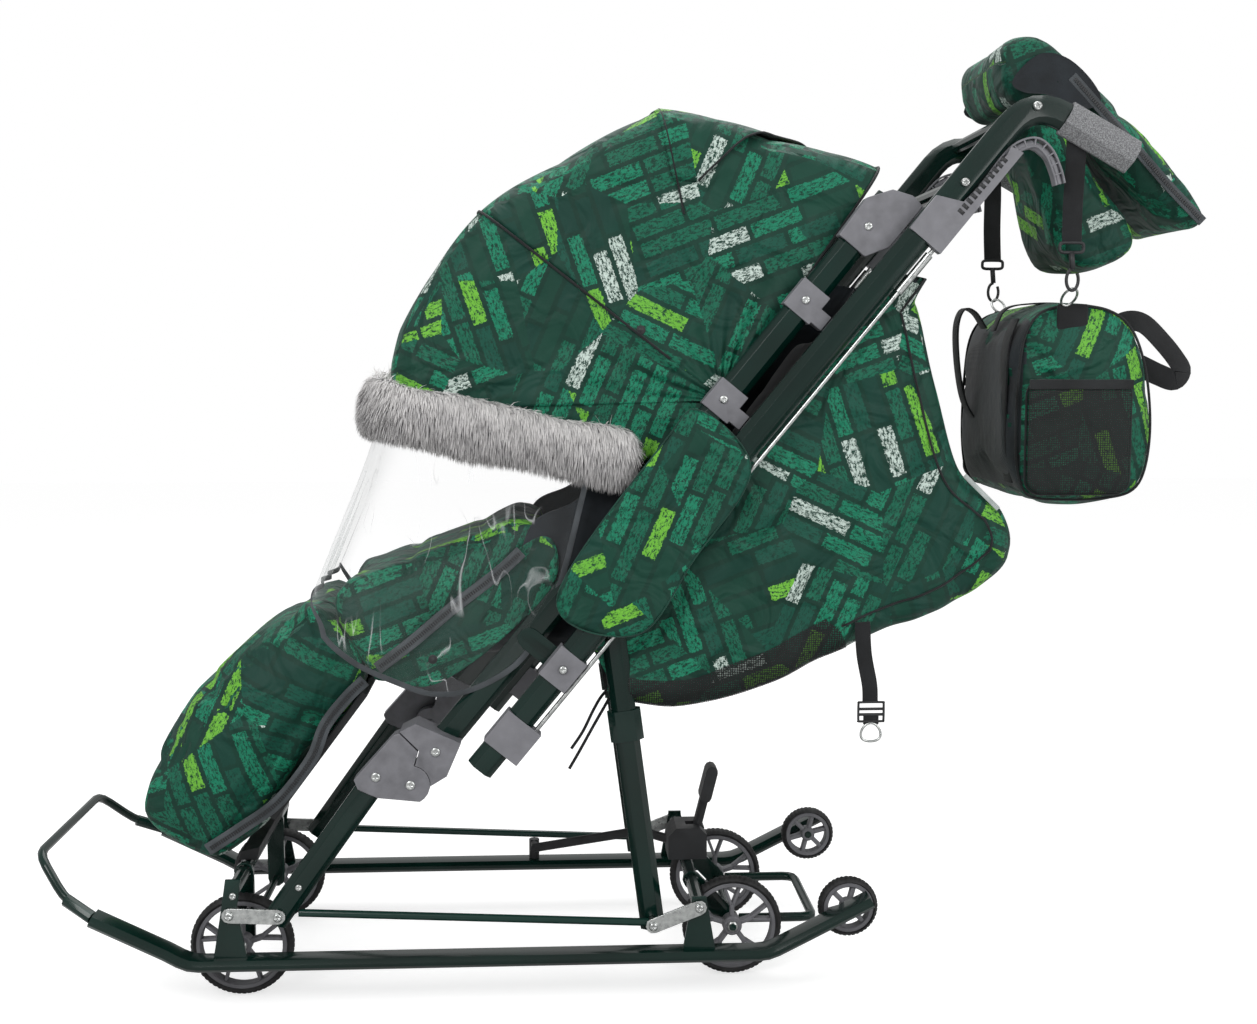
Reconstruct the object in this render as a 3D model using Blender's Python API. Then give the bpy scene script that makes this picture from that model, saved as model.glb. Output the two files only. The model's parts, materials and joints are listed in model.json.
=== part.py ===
# Winter sled pushchair: a runner sled with lift-up wheels under a folding, hooded seat.
# Metres, +Z up. The bow points to -X, the push handle to +X, the left side is -Y.
# The origin is on the ground, in the middle of the whole object's box.

import math

import bmesh
import bpy
import numpy as np
from mathutils import Matrix, Vector

for old in list(bpy.data.objects):
    bpy.data.objects.remove(old, do_unlink=True)

GAP = 0.0003          # between two pieces that touch
WALL = 0.0018         # wall of every frame tube
SIDES = (("left", -1.0), ("right", 1.0))

# Wheels
WHEEL_RADIUS = 0.070
WHEEL_WIDTH = 0.022
TYRE_DEPTH = 0.009
AXLE_RADIUS = 0.005
FRONT_AXLE_X = -0.523
REAR_AXLE_X = 0.149
FRONT_TRACK = 0.295
REAR_TRACK = 0.220
SMALL_RADIUS = 0.0415
SMALL_WIDTH = 0.020
SMALL_TYRE_DEPTH = 0.007
SMALL_AXLE = (0.302, 0.113)

# Sled runners and the bow that joins them at the front
RUNNER_CLEARANCE = 0.055
RUNNER_THICK = 0.015
RUNNER_WIDTH = 0.040
RUNNER_SPAN = 0.395
RUNNER_FRONT_X = -0.583
RUNNER_REAR_X = 0.187
RUNNER_KNEE = (-0.613, 0.080)
RUNNER_TIP = (-0.708, 0.127)
RUNNER_TAIL = (0.327, 0.133)
BOW_FRONT = (-0.792, 0.197)
BOW_WIDTH = 0.284
BOW_RADIUS = 0.0062
BOW_SLEEVE_RADIUS = 0.0085
BOW_SLEEVE_LENGTH = 0.045

# Brackets, cross tubes and ties on the sled
BRACKET_THICK = 0.004
BRACKET_Y = 0.2005
BRACKET_TOP_WIDTH = 0.020
BRACKET_FOOT_WIDTH = 0.044
BRACKET_SHOULDER = 0.011
BRACKET_RISE = 0.014
CROSS_RADIUS = 0.009
FRONT_BOLT = (-0.529, 0.129)
FRONT_CROSS = (-0.5235, 0.1625)
REAR_CROSS = (0.094, 0.128)
TIE_THICK = 0.004
TIE_HEIGHT = 0.020
RAIL_RADIUS = 0.0055
LEG_WIDTH = 0.025
LEG_DEPTH = 0.034
LEG_Y = 0.190
LEG_FOOT = (-0.465, 0.126)
LEG_HEAD = (-0.334, 0.309)
REAR_LEG_FOOT = (0.032, 0.104)
REAR_LEG_DEPTH = 0.033
LEG_COLLAR = (0.248, 0.290)
LEG_CROSS = 0.215
PIN_RADIUS = 0.005

# Wheel lift
ARM_THICK = 0.008
ARM_HALF = 0.0125
FRONT_SPACER = 0.0105
REAR_SPACER = 0.007
FRONT_ARM_Y = FRONT_TRACK / 2 - WHEEL_WIDTH / 2 - FRONT_SPACER - ARM_THICK / 2
REAR_ARM_Y = REAR_TRACK / 2 - WHEEL_WIDTH / 2 - REAR_SPACER - ARM_THICK / 2
PEDAL_REAR_X = 0.268
PEDAL_RADIUS = 0.0065
LATCH_LENGTH = 0.056
LATCH_WIDTH = 0.060
LATCH_HEIGHT = 0.046
LEVER_PIVOT = (0.109, 0.174)
LEVER_TIP = (0.129, 0.254)
LEVER_SHAFT = 0.003
BRACE_FOOT = (-0.130, 0.096)

# Back frame: distances run up the tube from the fold rivet, offsets run square to it, rearward
HINGE = (-0.289, 0.301)
BACK_ANGLE = 50.5
BACK_TUBE_WIDTH = 0.024
BACK_TUBE_DEPTH = 0.037
BACK_TUBE_Y = 0.168
BACK_TUBE_START = 0.052
BACK_TUBE_END = 0.995
CLAMP_LENGTH = 0.044
CLAMP_WALL = 0.0019
CANOPY_CLAMP = 0.654
HOOK_CLAMP = 0.8225
TOP_CLAMP_START = HOOK_CLAMP + CLAMP_LENGTH + 0.0485
LOW_CROSS = 0.200
HIGH_CROSS = 0.872
HINGE_RING = 0.026
HINGE_LUG = 0.023

# Handle: runs beside the back tube and turns on the pivot clamp
HANDLE_OFFSET = 0.058
HANDLE_WIDTH = 0.025
HANDLE_Y = 0.195
HANDLE_START = 0.072
HANDLE_PIVOT = 0.2465
HANDLE_BEND_START = 1.155
HANDLE_KNEE = (0.5235, 1.196)
HANDLE_BEND = 0.050
GRIP_END = (0.658, 1.121)
GRIP_LENGTH = 0.104
GRIP_WALL = 0.0045
BRACE_TUBE = 1.066
MUFF_BAR = (0.526, 1.184)
PIVOT_CLAMP_LENGTH = 0.048
SLIDER_START = 0.108
SLIDER_LENGTH = 0.052
LEVER_START = 0.976
LEVER_SADDLE = 0.054
ROD_OFFSET = 0.0838
ROD_RADIUS = 0.0028
ROD_SLEEVE_RADIUS = 0.0055
ROD_SLEEVE = (0.905, 0.968)

# Seat and soft goods
SEAT_HALF = 0.148
SEAT_FRONT_X = -0.258
SEAT_REAR_X = 0.020
SEAT_THICK = 0.050
BACKREST_HALF = 0.128
BACKREST_PIVOT = (0.040, 0.530)
BACKREST_TOP = (0.285, 0.872)
BACKREST_THICK = 0.034
FOOTREST_PIVOT = (-0.300, 0.436)
BOARD_THICK = 0.010
BOARD_HALF = 0.140
BOARD_SETBACK = 0.022
MUFF_HALF = 0.148
CANOPY_WALL = 0.0016
CANOPY_CORNER = 0.055
CANOPY_INNER = 0.016
CANOPY_EDGE_ANGLE = 182.0
CANOPY_RIB_ANGLE = 142.0
CANOPY_BOW_ANGLE = 139.0
CANOPY_BACK_ANGLE = 55.0
CANOPY_SEAM = 0.3
HOOP_RADIUS = 0.0035
FUR_REAR = (0.010, 0.728)
FUR_FRONT = (-0.3405, 0.802)
FUR_HEIGHT = 0.084
FUR_THICK = 0.044
SHIELD_HALF = 0.1823
SHEET = 0.0012
APRON_HALF = 0.1820
APRON_SIDE = 0.0014
BAG_HALF = 0.150
BAG_FRONT_X = 0.522
BAG_REAR_X = 0.722
BAG_BASE_Z = 0.662
BAG_TOP_Z = 0.938
STRAP_X = 0.5835
STRAP_WIDTH = 0.027
STRAP_THICK = 0.003
STRAP_HOOK_Z = 0.9545
HAND_MUFF_HALF = 0.120
REAR_STRAP_X = 0.314


# Derived places
RUNNER_Y = RUNNER_SPAN / 2
RUNNER_Z = RUNNER_CLEARANCE + RUNNER_THICK / 2
RUNNER_TOP = RUNNER_CLEARANCE + RUNNER_THICK
BACK_DIR = Vector((math.cos(math.radians(BACK_ANGLE)), math.sin(math.radians(BACK_ANGLE))))
BACK_OUT = Vector((BACK_DIR.y, -BACK_DIR.x))
SKIN = BACK_TUBE_DEPTH / 2
CANOPY_HALF = BACK_TUBE_Y - BACK_TUBE_WIDTH / 2 - GAP


def on_back(along, out):
    """A point given along the back tube and square to it, as (x, z)."""
    point = Vector(HINGE) + BACK_DIR * along + BACK_OUT * out
    return (point.x, point.y)


def at(point, y):
    return Vector((point[0], y, point[1]))


def unit(start, end):
    return (Vector(end) - Vector(start)).normalized()


def paint(name, colour, roughness, metallic):
    made = bpy.data.materials.new(name)
    made.use_nodes = True
    shader = made.node_tree.nodes["Principled BSDF"]
    shader.inputs["Base Color"].default_value = (*colour, 1.0)
    shader.inputs["Roughness"].default_value = roughness
    shader.inputs["Metallic"].default_value = metallic
    return made


FINISHES = {
    "paint": ((0.006, 0.028, 0.022), 0.30, 0.4),
    "grey": ((0.145, 0.145, 0.155), 0.50, 0.0),
    "zinc": ((0.60, 0.61, 0.60), 0.32, 1.0),
    "black": ((0.012, 0.012, 0.013), 0.50, 0.0),
    "rubber": ((0.010, 0.010, 0.010), 0.75, 0.0),
    "rim": ((0.10, 0.10, 0.105), 0.45, 0.0),
    "foam": ((0.20, 0.20, 0.20), 0.80, 0.0),
    "cloth": ((0.004, 0.090, 0.055), 0.85, 0.0),
    "lining": ((0.015, 0.017, 0.020), 0.90, 0.0),
    "fur": ((0.36, 0.36, 0.37), 0.95, 0.0),
    "clear": ((0.75, 0.77, 0.78), 0.10, 0.0),
}


def keep(name, mesh, finish, origin=None, smooth=False):
    """Link a finished mesh as a named sub-part with its own material, origin on its joint."""
    body = bpy.data.objects.new(name, mesh)
    bpy.context.collection.objects.link(body)
    mesh.materials.append(paint(name, *FINISHES[finish]))
    if origin is not None:
        mesh.transform(Matrix.Translation(-Vector(origin)))
        body.location = origin
    if smooth:
        mesh.shade_smooth()
        mesh.set_sharp_from_angle(angle=math.radians(35))
    return body


def to_mesh(name, bm):
    bmesh.ops.recalc_face_normals(bm, faces=bm.faces)
    mesh = bpy.data.meshes.new(name)
    bm.to_mesh(mesh)
    bm.free()
    return mesh


def prism(name, outline, low_y, high_y):
    """An (x, z) outline extruded along Y."""
    bm = bmesh.new()
    face = bm.faces.new([bm.verts.new(at(point, low_y)) for point in outline])
    grown = bmesh.ops.extrude_face_region(bm, geom=[face])["geom"]
    moved = [item for item in grown if isinstance(item, bmesh.types.BMVert)]
    bmesh.ops.translate(bm, verts=moved, vec=(0, high_y - low_y, 0))
    return to_mesh(name, bm)


def rod(name, start, end, radius, sides=12):
    """A round bar from one point to the other."""
    axis = Vector(end) - Vector(start)
    turn = axis.to_track_quat("Z", "Y").to_matrix().to_4x4()
    place = Matrix.Translation((Vector(start) + Vector(end)) / 2) @ turn
    bm = bmesh.new()
    bmesh.ops.create_cone(bm, cap_ends=True, segments=sides, radius1=radius, radius2=radius,
                          depth=axis.length, matrix=place)
    return to_mesh(name, bm)


def rounded(points, radius, steps=3):
    """Replace each inner corner of a 3-D path by an arc-like quadratic curve."""
    path = [Vector(points[0])]
    for before, corner, after in zip(points, points[1:], points[2:]):
        corner = Vector(corner)
        entry = corner + (Vector(before) - corner).normalized() * radius
        leave = corner + (Vector(after) - corner).normalized() * radius
        for step in range(steps + 1):
            t = step / steps
            path.append(entry * (1 - t) ** 2 + corner * 2 * t * (1 - t) + leave * t * t)
    path.append(Vector(points[-1]))
    return path


def oval(width, depth, corner=0.35):
    """A flat-oval tube section with eight points: width runs across, depth runs in the plane."""
    w = width / 2
    d = depth / 2
    c = min(w, d) * 2 * corner
    return [(-w, -d + c), (-w + c, -d), (w - c, -d), (w, -d + c),
            (w, d - c), (w - c, d), (-w + c, d), (-w, d - c)]


def circle(radius, sides):
    turn = 2 * math.pi / sides
    return [(radius * math.cos(i * turn), radius * math.sin(i * turn)) for i in range(sides)]


def sweep(name, path, section, inner=None, across=(0, 1, 0)):
    """Carry a section along a path, mitred at its corners; an inner section leaves a bore."""
    path = [Vector(p) for p in path]
    across = Vector(across)
    loops = []
    bm = bmesh.new()
    for shape in (section, inner):
        if shape is None:
            continue
        rings = []
        for i, point in enumerate(path):
            into = (point - path[i - 1]).normalized() if i else (path[1] - point).normalized()
            last = i == len(path) - 1
            out = into if last else (path[i + 1] - point).normalized()
            tangent = (into + out).normalized()
            side = (across - tangent * across.dot(tangent)).normalized()
            rise = tangent.cross(side)
            stretch = 1 / max(0.3, tangent.dot(into))
            bend = (out - into)
            ring = []
            for u, v in shape:
                offset = side * u + rise * v
                if bend.length > 1e-6:
                    direction = bend.normalized()
                    offset += direction * offset.dot(direction) * (stretch - 1)
                ring.append(bm.verts.new(point + offset))
            rings.append(ring)
        count = len(shape)
        for low, high in zip(rings, rings[1:]):
            for k in range(count):
                n = (k + 1) % count
                bm.faces.new((low[k], low[n], high[n], high[k]))
        loops.append(rings)
    for end in (0, -1):
        if inner is None:
            bm.faces.new(loops[0][end])
            continue
        for k in range(len(section)):
            n = (k + 1) % len(section)
            bm.faces.new((loops[0][end][k], loops[0][end][n], loops[1][end][n], loops[1][end][k]))
    return to_mesh(name, bm)


def tube(name, path, width, depth):
    return sweep(name, path, oval(width, depth), oval(width - 2 * WALL, depth - 2 * WALL))


def guide(name, mesh):
    """A hidden body that a Boolean reads."""
    body = bpy.data.objects.new("guide_" + name, mesh)
    bpy.context.collection.objects.link(body)
    body.hide_render = True
    body.display_type = "WIRE"
    return body


def combine(body, mesh, operation):
    """Join or cut a body with another mesh by a live Boolean."""
    other = guide(body.name + "_" + mesh.name, mesh)
    step = body.modifiers.new(operation.lower(), "BOOLEAN")
    step.operation = operation
    step.solver = "EXACT"
    step.object = other


def add(body, *meshes):
    for mesh in meshes:
        combine(body, mesh, "UNION")


def cut(body, *meshes):
    for mesh in meshes:
        combine(body, mesh, "DIFFERENCE")


def strip(start, end, half, low_y, high_y, name="strip", steps=5):
    """A plate with round ends from one (x, z) point to another."""
    angle = math.atan2(end[1] - start[1], end[0] - start[0])
    outline = []
    for centre, first in ((end, angle - math.pi / 2), (start, angle + math.pi / 2)):
        for i in range(steps + 1):
            turn = first + math.pi * i / steps
            outline.append((centre[0] + half * math.cos(turn), centre[1] + half * math.sin(turn)))
    return prism(name, outline, low_y, high_y)


def back_block(name, low, high, near, far, low_y, high_y):
    """A block given along the back tube and out from it."""
    corners = [on_back(low, near), on_back(high, near), on_back(high, far), on_back(low, far)]
    return prism(name, corners, low_y, high_y)


def span(sign, near, far):
    """Low and high Y of a layer that lies near to far from the middle, on one side."""
    return (near, far) if sign > 0 else (-far, -near)


def sheet_body(name, grid, thickness):
    """A closed sheet: a grid of points thickened along its own normals."""
    grid = np.asarray(grid, dtype=float)
    along = np.gradient(grid, axis=0)
    around = np.gradient(grid, axis=1)
    normal = np.cross(along, around)
    normal /= np.linalg.norm(normal, axis=2, keepdims=True)
    layers = (grid, grid + normal * thickness)
    rows, columns = grid.shape[:2]
    bm = bmesh.new()
    verts = [[[bm.verts.new(layer[i, j]) for j in range(columns)] for i in range(rows)]
             for layer in layers]
    for layer in verts:
        for i in range(rows - 1):
            for j in range(columns - 1):
                bm.faces.new((layer[i][j], layer[i][j + 1], layer[i + 1][j + 1], layer[i + 1][j]))
    rim = [(i, 0) for i in range(rows)] + [(rows - 1, j) for j in range(1, columns)]
    rim += [(i, columns - 1) for i in range(rows - 2, -1, -1)]
    rim += [(0, j) for j in range(columns - 2, 0, -1)]
    for here, there in zip(rim, rim[1:] + rim[:1]):
        a = verts[0][here[0]][here[1]]
        b = verts[0][there[0]][there[1]]
        c = verts[1][there[0]][there[1]]
        d = verts[1][here[0]][here[1]]
        bm.faces.new((a, b, c, d))
    return to_mesh(name, bm)


def ring_profile(name, centre_y, outline, sides):
    """Turn a closed (radius, y) outline round the Y axis."""
    bm = bmesh.new()
    rings = []
    for i in range(sides):
        turn = 2 * math.pi * i / sides
        rings.append([bm.verts.new((r * math.cos(turn), centre_y + y, r * math.sin(turn)))
                      for r, y in outline])
    for i in range(sides):
        here = rings[i]
        there = rings[(i + 1) % sides]
        for k in range(len(outline)):
            n = (k + 1) % len(outline)
            bm.faces.new((here[k], here[n], there[n], there[k]))
    return to_mesh(name, bm)


# Wheels: a spoked rim and its rubber tyre, turned as one body

def wheel(name, centre, y, radius, width, depth, spokes, window_from, window_to):
    rim_radius = radius - depth
    tread = radius - 0.0025
    half = width / 2
    web = half * 0.62
    one_side = [(AXLE_RADIUS + GAP, -half), (0.013, -half), (0.016, -web), (rim_radius - 0.006, -web),
                (rim_radius - 0.004, -half + 0.0015), (rim_radius, -half), (tread, -half),
                (radius, -half * 0.45)]
    outline = one_side + [(r, -y) for r, y in reversed(one_side)]
    body = keep(name, ring_profile(name, 0, outline, 24), "rubber", smooth=True)
    body.location = at(centre, y)
    for i in range(spokes):
        middle = 2 * math.pi * (i + 0.5) / spokes
        narrow = math.pi / spokes * 0.45
        wide = math.pi / spokes * 0.74
        window = [(window_from, -narrow), (window_to, -wide), (window_to * 1.02, 0), (window_to, wide),
                  (window_from, narrow)]
        hole = [(r * math.cos(middle + a), r * math.sin(middle + a)) for r, a in window]
        combine(body, prism(f"window_{i}", hole, -width, width), "DIFFERENCE")
        body.modifiers[-1].object.location = body.location


def make_wheels():
    for side, sign in SIDES:
        wheel(f"front_wheel_{side}", (FRONT_AXLE_X, WHEEL_RADIUS), sign * FRONT_TRACK / 2,
              WHEEL_RADIUS, WHEEL_WIDTH, TYRE_DEPTH, 5, 0.024, 0.050)
        wheel(f"rear_wheel_{side}", (REAR_AXLE_X, WHEEL_RADIUS), sign * REAR_TRACK / 2,
              WHEEL_RADIUS, WHEEL_WIDTH, TYRE_DEPTH, 5, 0.024, 0.050)
        small_y = RUNNER_Y - RUNNER_WIDTH / 2 - SMALL_WIDTH / 2 - 5 * GAP
        wheel(f"small_wheel_{side}", SMALL_AXLE, sign * small_y,
              SMALL_RADIUS, SMALL_WIDTH, SMALL_TYRE_DEPTH, 6, 0.0155, 0.0265)


# Sled: runners, bow, cross tubes, ties, rails and front legs

def runner_meshes(sign):
    """One runner with its two bracket plates and the stub axle of its small wheel."""
    y = sign * RUNNER_Y
    path = rounded([at(RUNNER_TIP, y), at(RUNNER_KNEE, y), at((RUNNER_FRONT_X, RUNNER_Z), y),
                    at((RUNNER_REAR_X, RUNNER_Z), y), at(RUNNER_TAIL, y)], 0.014, 2)
    meshes = [tube("runner", path, RUNNER_WIDTH, RUNNER_THICK)]
    low_y, high_y = span(sign, BRACKET_Y - BRACKET_THICK / 2, BRACKET_Y + BRACKET_THICK / 2)
    for label, bolt, cross in (("front", FRONT_BOLT, FRONT_CROSS), ("rear", REAR_CROSS, REAR_CROSS)):
        foot = RUNNER_TOP - WALL / 2
        shoulder = bolt[1] + BRACKET_SHOULDER
        top = cross[1] + BRACKET_RISE
        wide = BRACKET_FOOT_WIDTH / 2
        narrow = BRACKET_TOP_WIDTH / 2
        outline = [(bolt[0] - wide, foot), (bolt[0] + wide, foot), (bolt[0] + narrow, shoulder),
                   (cross[0] + narrow, top), (cross[0] - narrow, top), (bolt[0] - narrow, shoulder)]
        meshes.append(prism(f"{label}_bracket", outline, low_y, high_y))
    inner = RUNNER_Y - RUNNER_WIDTH / 2
    tip_y = inner - SMALL_WIDTH - 10 * GAP
    meshes.append(rod("stub", at(SMALL_AXLE, sign * (inner + WALL / 2)), at(SMALL_AXLE, sign * tip_y),
                      AXLE_RADIUS, 10))
    return meshes


def cross_mesh(name, place, reach, radius=CROSS_RADIUS):
    """A round bar across the object."""
    return rod(name, at(place, -reach), at(place, reach), radius, 10)


def make_sled_frame():
    left, *rest = runner_meshes(-1.0)
    frame = keep("sled_frame", left, "paint")
    reach = BRACKET_Y
    add(frame, *rest, *runner_meshes(1.0), cross_mesh("front_cross", FRONT_CROSS, reach),
        cross_mesh("rear_cross", REAR_CROSS, reach))


def make_bow():
    along = unit(RUNNER_KNEE, RUNNER_TIP)
    joint = Vector(RUNNER_TIP) + along * GAP
    bend = Vector(RUNNER_TIP) + along * BOW_SLEEVE_LENGTH
    half = BOW_WIDTH / 2
    start = at(joint, -RUNNER_Y)
    sleeve_end = at(bend, -(RUNNER_Y + half) / 2 - 0.010)
    corner = at(BOW_FRONT, -half)
    near = [start, sleeve_end, corner]
    far = [Vector((p.x, -p.y, p.z)) for p in reversed(near)]
    path = rounded(near + far, 0.022, 3)
    bow = keep("front_bow", sweep("bow", path, circle(BOW_RADIUS, 10), across=(0.2, 0.3, 1)), "paint",
               smooth=True)
    for sign in (-1, 1):
        a = at(joint, sign * RUNNER_Y)
        b = Vector((sleeve_end.x, -sign * sleeve_end.y, sleeve_end.z))
        stop = a + (b - a) * 0.95
        add(bow, rod(f"sleeve_{sign}", a, stop, BOW_SLEEVE_RADIUS, 10))
    cut(bow, strip(Vector(RUNNER_TIP) - along * BOW_SLEEVE_LENGTH, joint, BOW_SLEEVE_LENGTH, -RUNNER_SPAN,
                   RUNNER_SPAN, "tip", steps=1))


def make_footrest_stop():
    top = FRONT_CROSS[1] + CROSS_RADIUS + GAP
    outline = [(FRONT_CROSS[0] - 0.012, top), (FRONT_CROSS[0] + 0.014, top),
               (FRONT_CROSS[0] + 0.018, top + 0.018), (FRONT_CROSS[0] - 0.008, top + 0.013)]
    keep("footrest_stop", prism("footrest_stop", outline, -0.105, 0.105), "black")


def make_ties(side, sign):
    face = BRACKET_Y + BRACKET_THICK / 2 + GAP
    low_y, high_y = span(sign, face, face + TIE_THICK)
    front = strip(FRONT_BOLT, LEG_FOOT, TIE_HEIGHT / 2, low_y, high_y, "front_tie")
    keep(f"front_tie_plate_{side}", front, "zinc")
    rear = strip(REAR_LEG_FOOT, REAR_CROSS, TIE_HEIGHT / 2, low_y, high_y, "rear_tie")
    plate = keep(f"rear_tie_plate_{side}", rear, "zinc")
    inner = BACK_TUBE_Y - BACK_TUBE_WIDTH / 2 - 0.004
    add(plate, rod("pin", at(REAR_LEG_FOOT, sign * (face + TIE_THICK / 2)),
                   at(REAR_LEG_FOOT, sign * inner), PIN_RADIUS, 10))
    lean = unit(LEG_FOOT, LEG_HEAD)
    start = Vector(LEG_FOOT) + Vector(((LEG_DEPTH / 2 + RAIL_RADIUS * lean.x) / lean.y + GAP, 0))
    end = Vector(REAR_LEG_FOOT) - Vector((PIN_RADIUS + GAP, 0))
    keep(f"foot_rail_{side}", rod("rail", at(start, sign * LEG_Y), at(end, sign * LEG_Y),
                                  RAIL_RADIUS, 8), "paint", smooth=True)


def front_leg_path(sign, reach):
    """From a little under the foot bolt up into the hinge."""
    along = unit(LEG_FOOT, LEG_HEAD)
    foot = Vector(LEG_FOOT) - along * 0.012
    head = Vector(LEG_HEAD) + along * reach
    return [at(foot, sign * LEG_Y), at(head, sign * LEG_Y)]


def arc(centre, radius, first, last, steps):
    turns = [math.radians(first + (last - first) * i / steps) for i in range(steps + 1)]
    return [(centre[0] + radius * math.cos(t), centre[1] + radius * math.sin(t)) for t in turns]


def make_front_leg(side, sign):
    keep(f"front_leg_{side}", tube("leg", front_leg_path(sign, 0.0), LEG_WIDTH, LEG_DEPTH), "paint")
    outer = LEG_Y + LEG_WIDTH / 2 + 4 * GAP
    inner = LEG_Y - LEG_WIDTH / 2 - 4 * GAP
    low_y, high_y = span(sign, inner, outer)
    outline = [(-0.363, 0.309), (-0.310, 0.368), (-0.303, 0.371), (-0.2785, 0.3455)]
    outline += arc(HINGE, HINGE_RING, 79, -62, 8)
    outline += [(-0.332, 0.284), (-0.358, 0.296)]
    lower = keep(f"hinge_lower_{side}", prism("lower", outline, low_y, high_y), "grey")
    grow = 2 * GAP
    cut(lower, sweep("socket", front_leg_path(sign, GAP), oval(LEG_WIDTH + grow, LEG_DEPTH + grow)))
    tip = BACK_TUBE_Y - BACK_TUBE_WIDTH / 2 - 0.003
    add(lower, rod("rivet", at(HINGE, sign * (inner + 0.004)), at(HINGE, sign * tip), PIN_RADIUS, 12))


# Wheel lift: two swinging frames, the foot pedal and the latch

def make_lift():
    bore = CROSS_RADIUS + GAP
    front = (FRONT_AXLE_X, WHEEL_RADIUS)
    reach = FRONT_TRACK / 2 + WHEEL_WIDTH / 2 + 0.005
    frame = keep("front_wheel_frame", rod("axle", at(front, -reach), at(front, reach), AXLE_RADIUS, 12),
                 "paint", origin=at(FRONT_CROSS, 0))
    rear = (REAR_AXLE_X, WHEEL_RADIUS)
    reach = REAR_TRACK / 2 + WHEEL_WIDTH / 2 + 0.005
    carrier = keep("rear_wheel_frame", rod("axle", at(rear, -reach), at(rear, reach), AXLE_RADIUS, 12),
                   "paint", origin=at(REAR_CROSS, 0))
    for body, pivot, axle, arm_y in ((frame, FRONT_CROSS, front, FRONT_ARM_Y),
                                     (carrier, REAR_CROSS, rear, REAR_ARM_Y)):
        for sign in (-1, 1):
            low_y, high_y = span(sign, arm_y - ARM_THICK / 2, arm_y + ARM_THICK / 2)
            add(body, strip(pivot, axle, ARM_HALF, low_y, high_y, f"arm_{sign}"))
        cut(body, rod("bore", at(pivot, -RUNNER_Y), at(pivot, RUNNER_Y), bore, 16))
    start = REAR_AXLE_X + ARM_HALF + GAP
    corner = [(PEDAL_REAR_X, -REAR_ARM_Y), (PEDAL_REAR_X, REAR_ARM_Y)]
    route = [(start, -REAR_ARM_Y), *corner, (start, REAR_ARM_Y)]
    path = rounded([Vector((x, y, WHEEL_RADIUS)) for x, y in route], 0.018, 3)
    keep("lift_pedal", sweep("pedal", path, oval(2 * PEDAL_RADIUS, 2 * PEDAL_RADIUS),
                             across=(0, 0, 1)), "paint", origin=at(REAR_CROSS, 0))

    base = REAR_CROSS[1] + CROSS_RADIUS + GAP
    left = REAR_CROSS[0] - LATCH_LENGTH / 2
    right = REAR_CROSS[0] + LATCH_LENGTH / 2
    top = base + LATCH_HEIGHT
    outline = [(left, base), (right, base), (right, top - 0.010), (right - 0.010, top),
               (left + 0.012, top), (left, top - 0.012)]
    box = keep("latch_box", prism("latch_box", outline, -LATCH_WIDTH / 2, LATCH_WIDTH / 2), "black")
    slot = [(LEVER_PIVOT[0] - 0.016, LEVER_PIVOT[1] - 0.016), (right + 0.01, LEVER_PIVOT[1] - 0.016),
            (right + 0.01, top + 0.01), (LEVER_PIVOT[0] - 0.016, top + 0.01)]
    cut(box, prism("slot", slot, -0.008, 0.008),
        rod("bore", at(LEVER_PIVOT, -0.015), at(LEVER_PIVOT, 0.015), LEVER_SHAFT + GAP))
    lever = keep("lift_lever", strip(LEVER_PIVOT, LEVER_TIP, 0.006, -0.007, 0.007, "lever"), "black",
                 origin=at(LEVER_PIVOT, 0))
    lean = unit(LEVER_PIVOT, LEVER_TIP)
    low = Vector(LEVER_TIP) - lean * 0.030
    high = Vector(LEVER_TIP) + lean * 0.008
    add(lever, strip(low, high, 0.0085, -0.016, 0.016, "pad"),
        rod("shaft", at(LEVER_PIVOT, -0.014), at(LEVER_PIVOT, 0.014), LEVER_SHAFT))

    y = -(RUNNER_Y - RUNNER_WIDTH / 2 - 0.012)
    head = (left + 0.004, base + LATCH_HEIGHT * 0.35)
    path = [Vector((BRACE_FOOT[0], -y, BRACE_FOOT[1])), Vector((head[0] - 0.040, 0.060, head[1])),
            Vector((head[0], 0.018, head[1]))]
    add(box, sweep("brace", rounded(path, 0.015, 2), oval(0.006, 0.014)))
    foot = at(BRACE_FOOT, -y)
    post = Vector((BRACE_FOOT[0], RUNNER_Y, BRACE_FOOT[1]))
    base_point = Vector((BRACE_FOOT[0], RUNNER_Y, RUNNER_TOP + GAP))
    add(box, rod("bolt", foot, post, 0.005, 8),
        rod("stand", base_point, post + Vector((0, 0, 0.005)), 0.008, 8))


# Rear legs: pinned at the foot, their heads slide under the back tube

def rear_leg_head():
    """Where the leg's middle line meets the underside of the back tube."""
    return on_back(0.382, SKIN + GAP)


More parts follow.
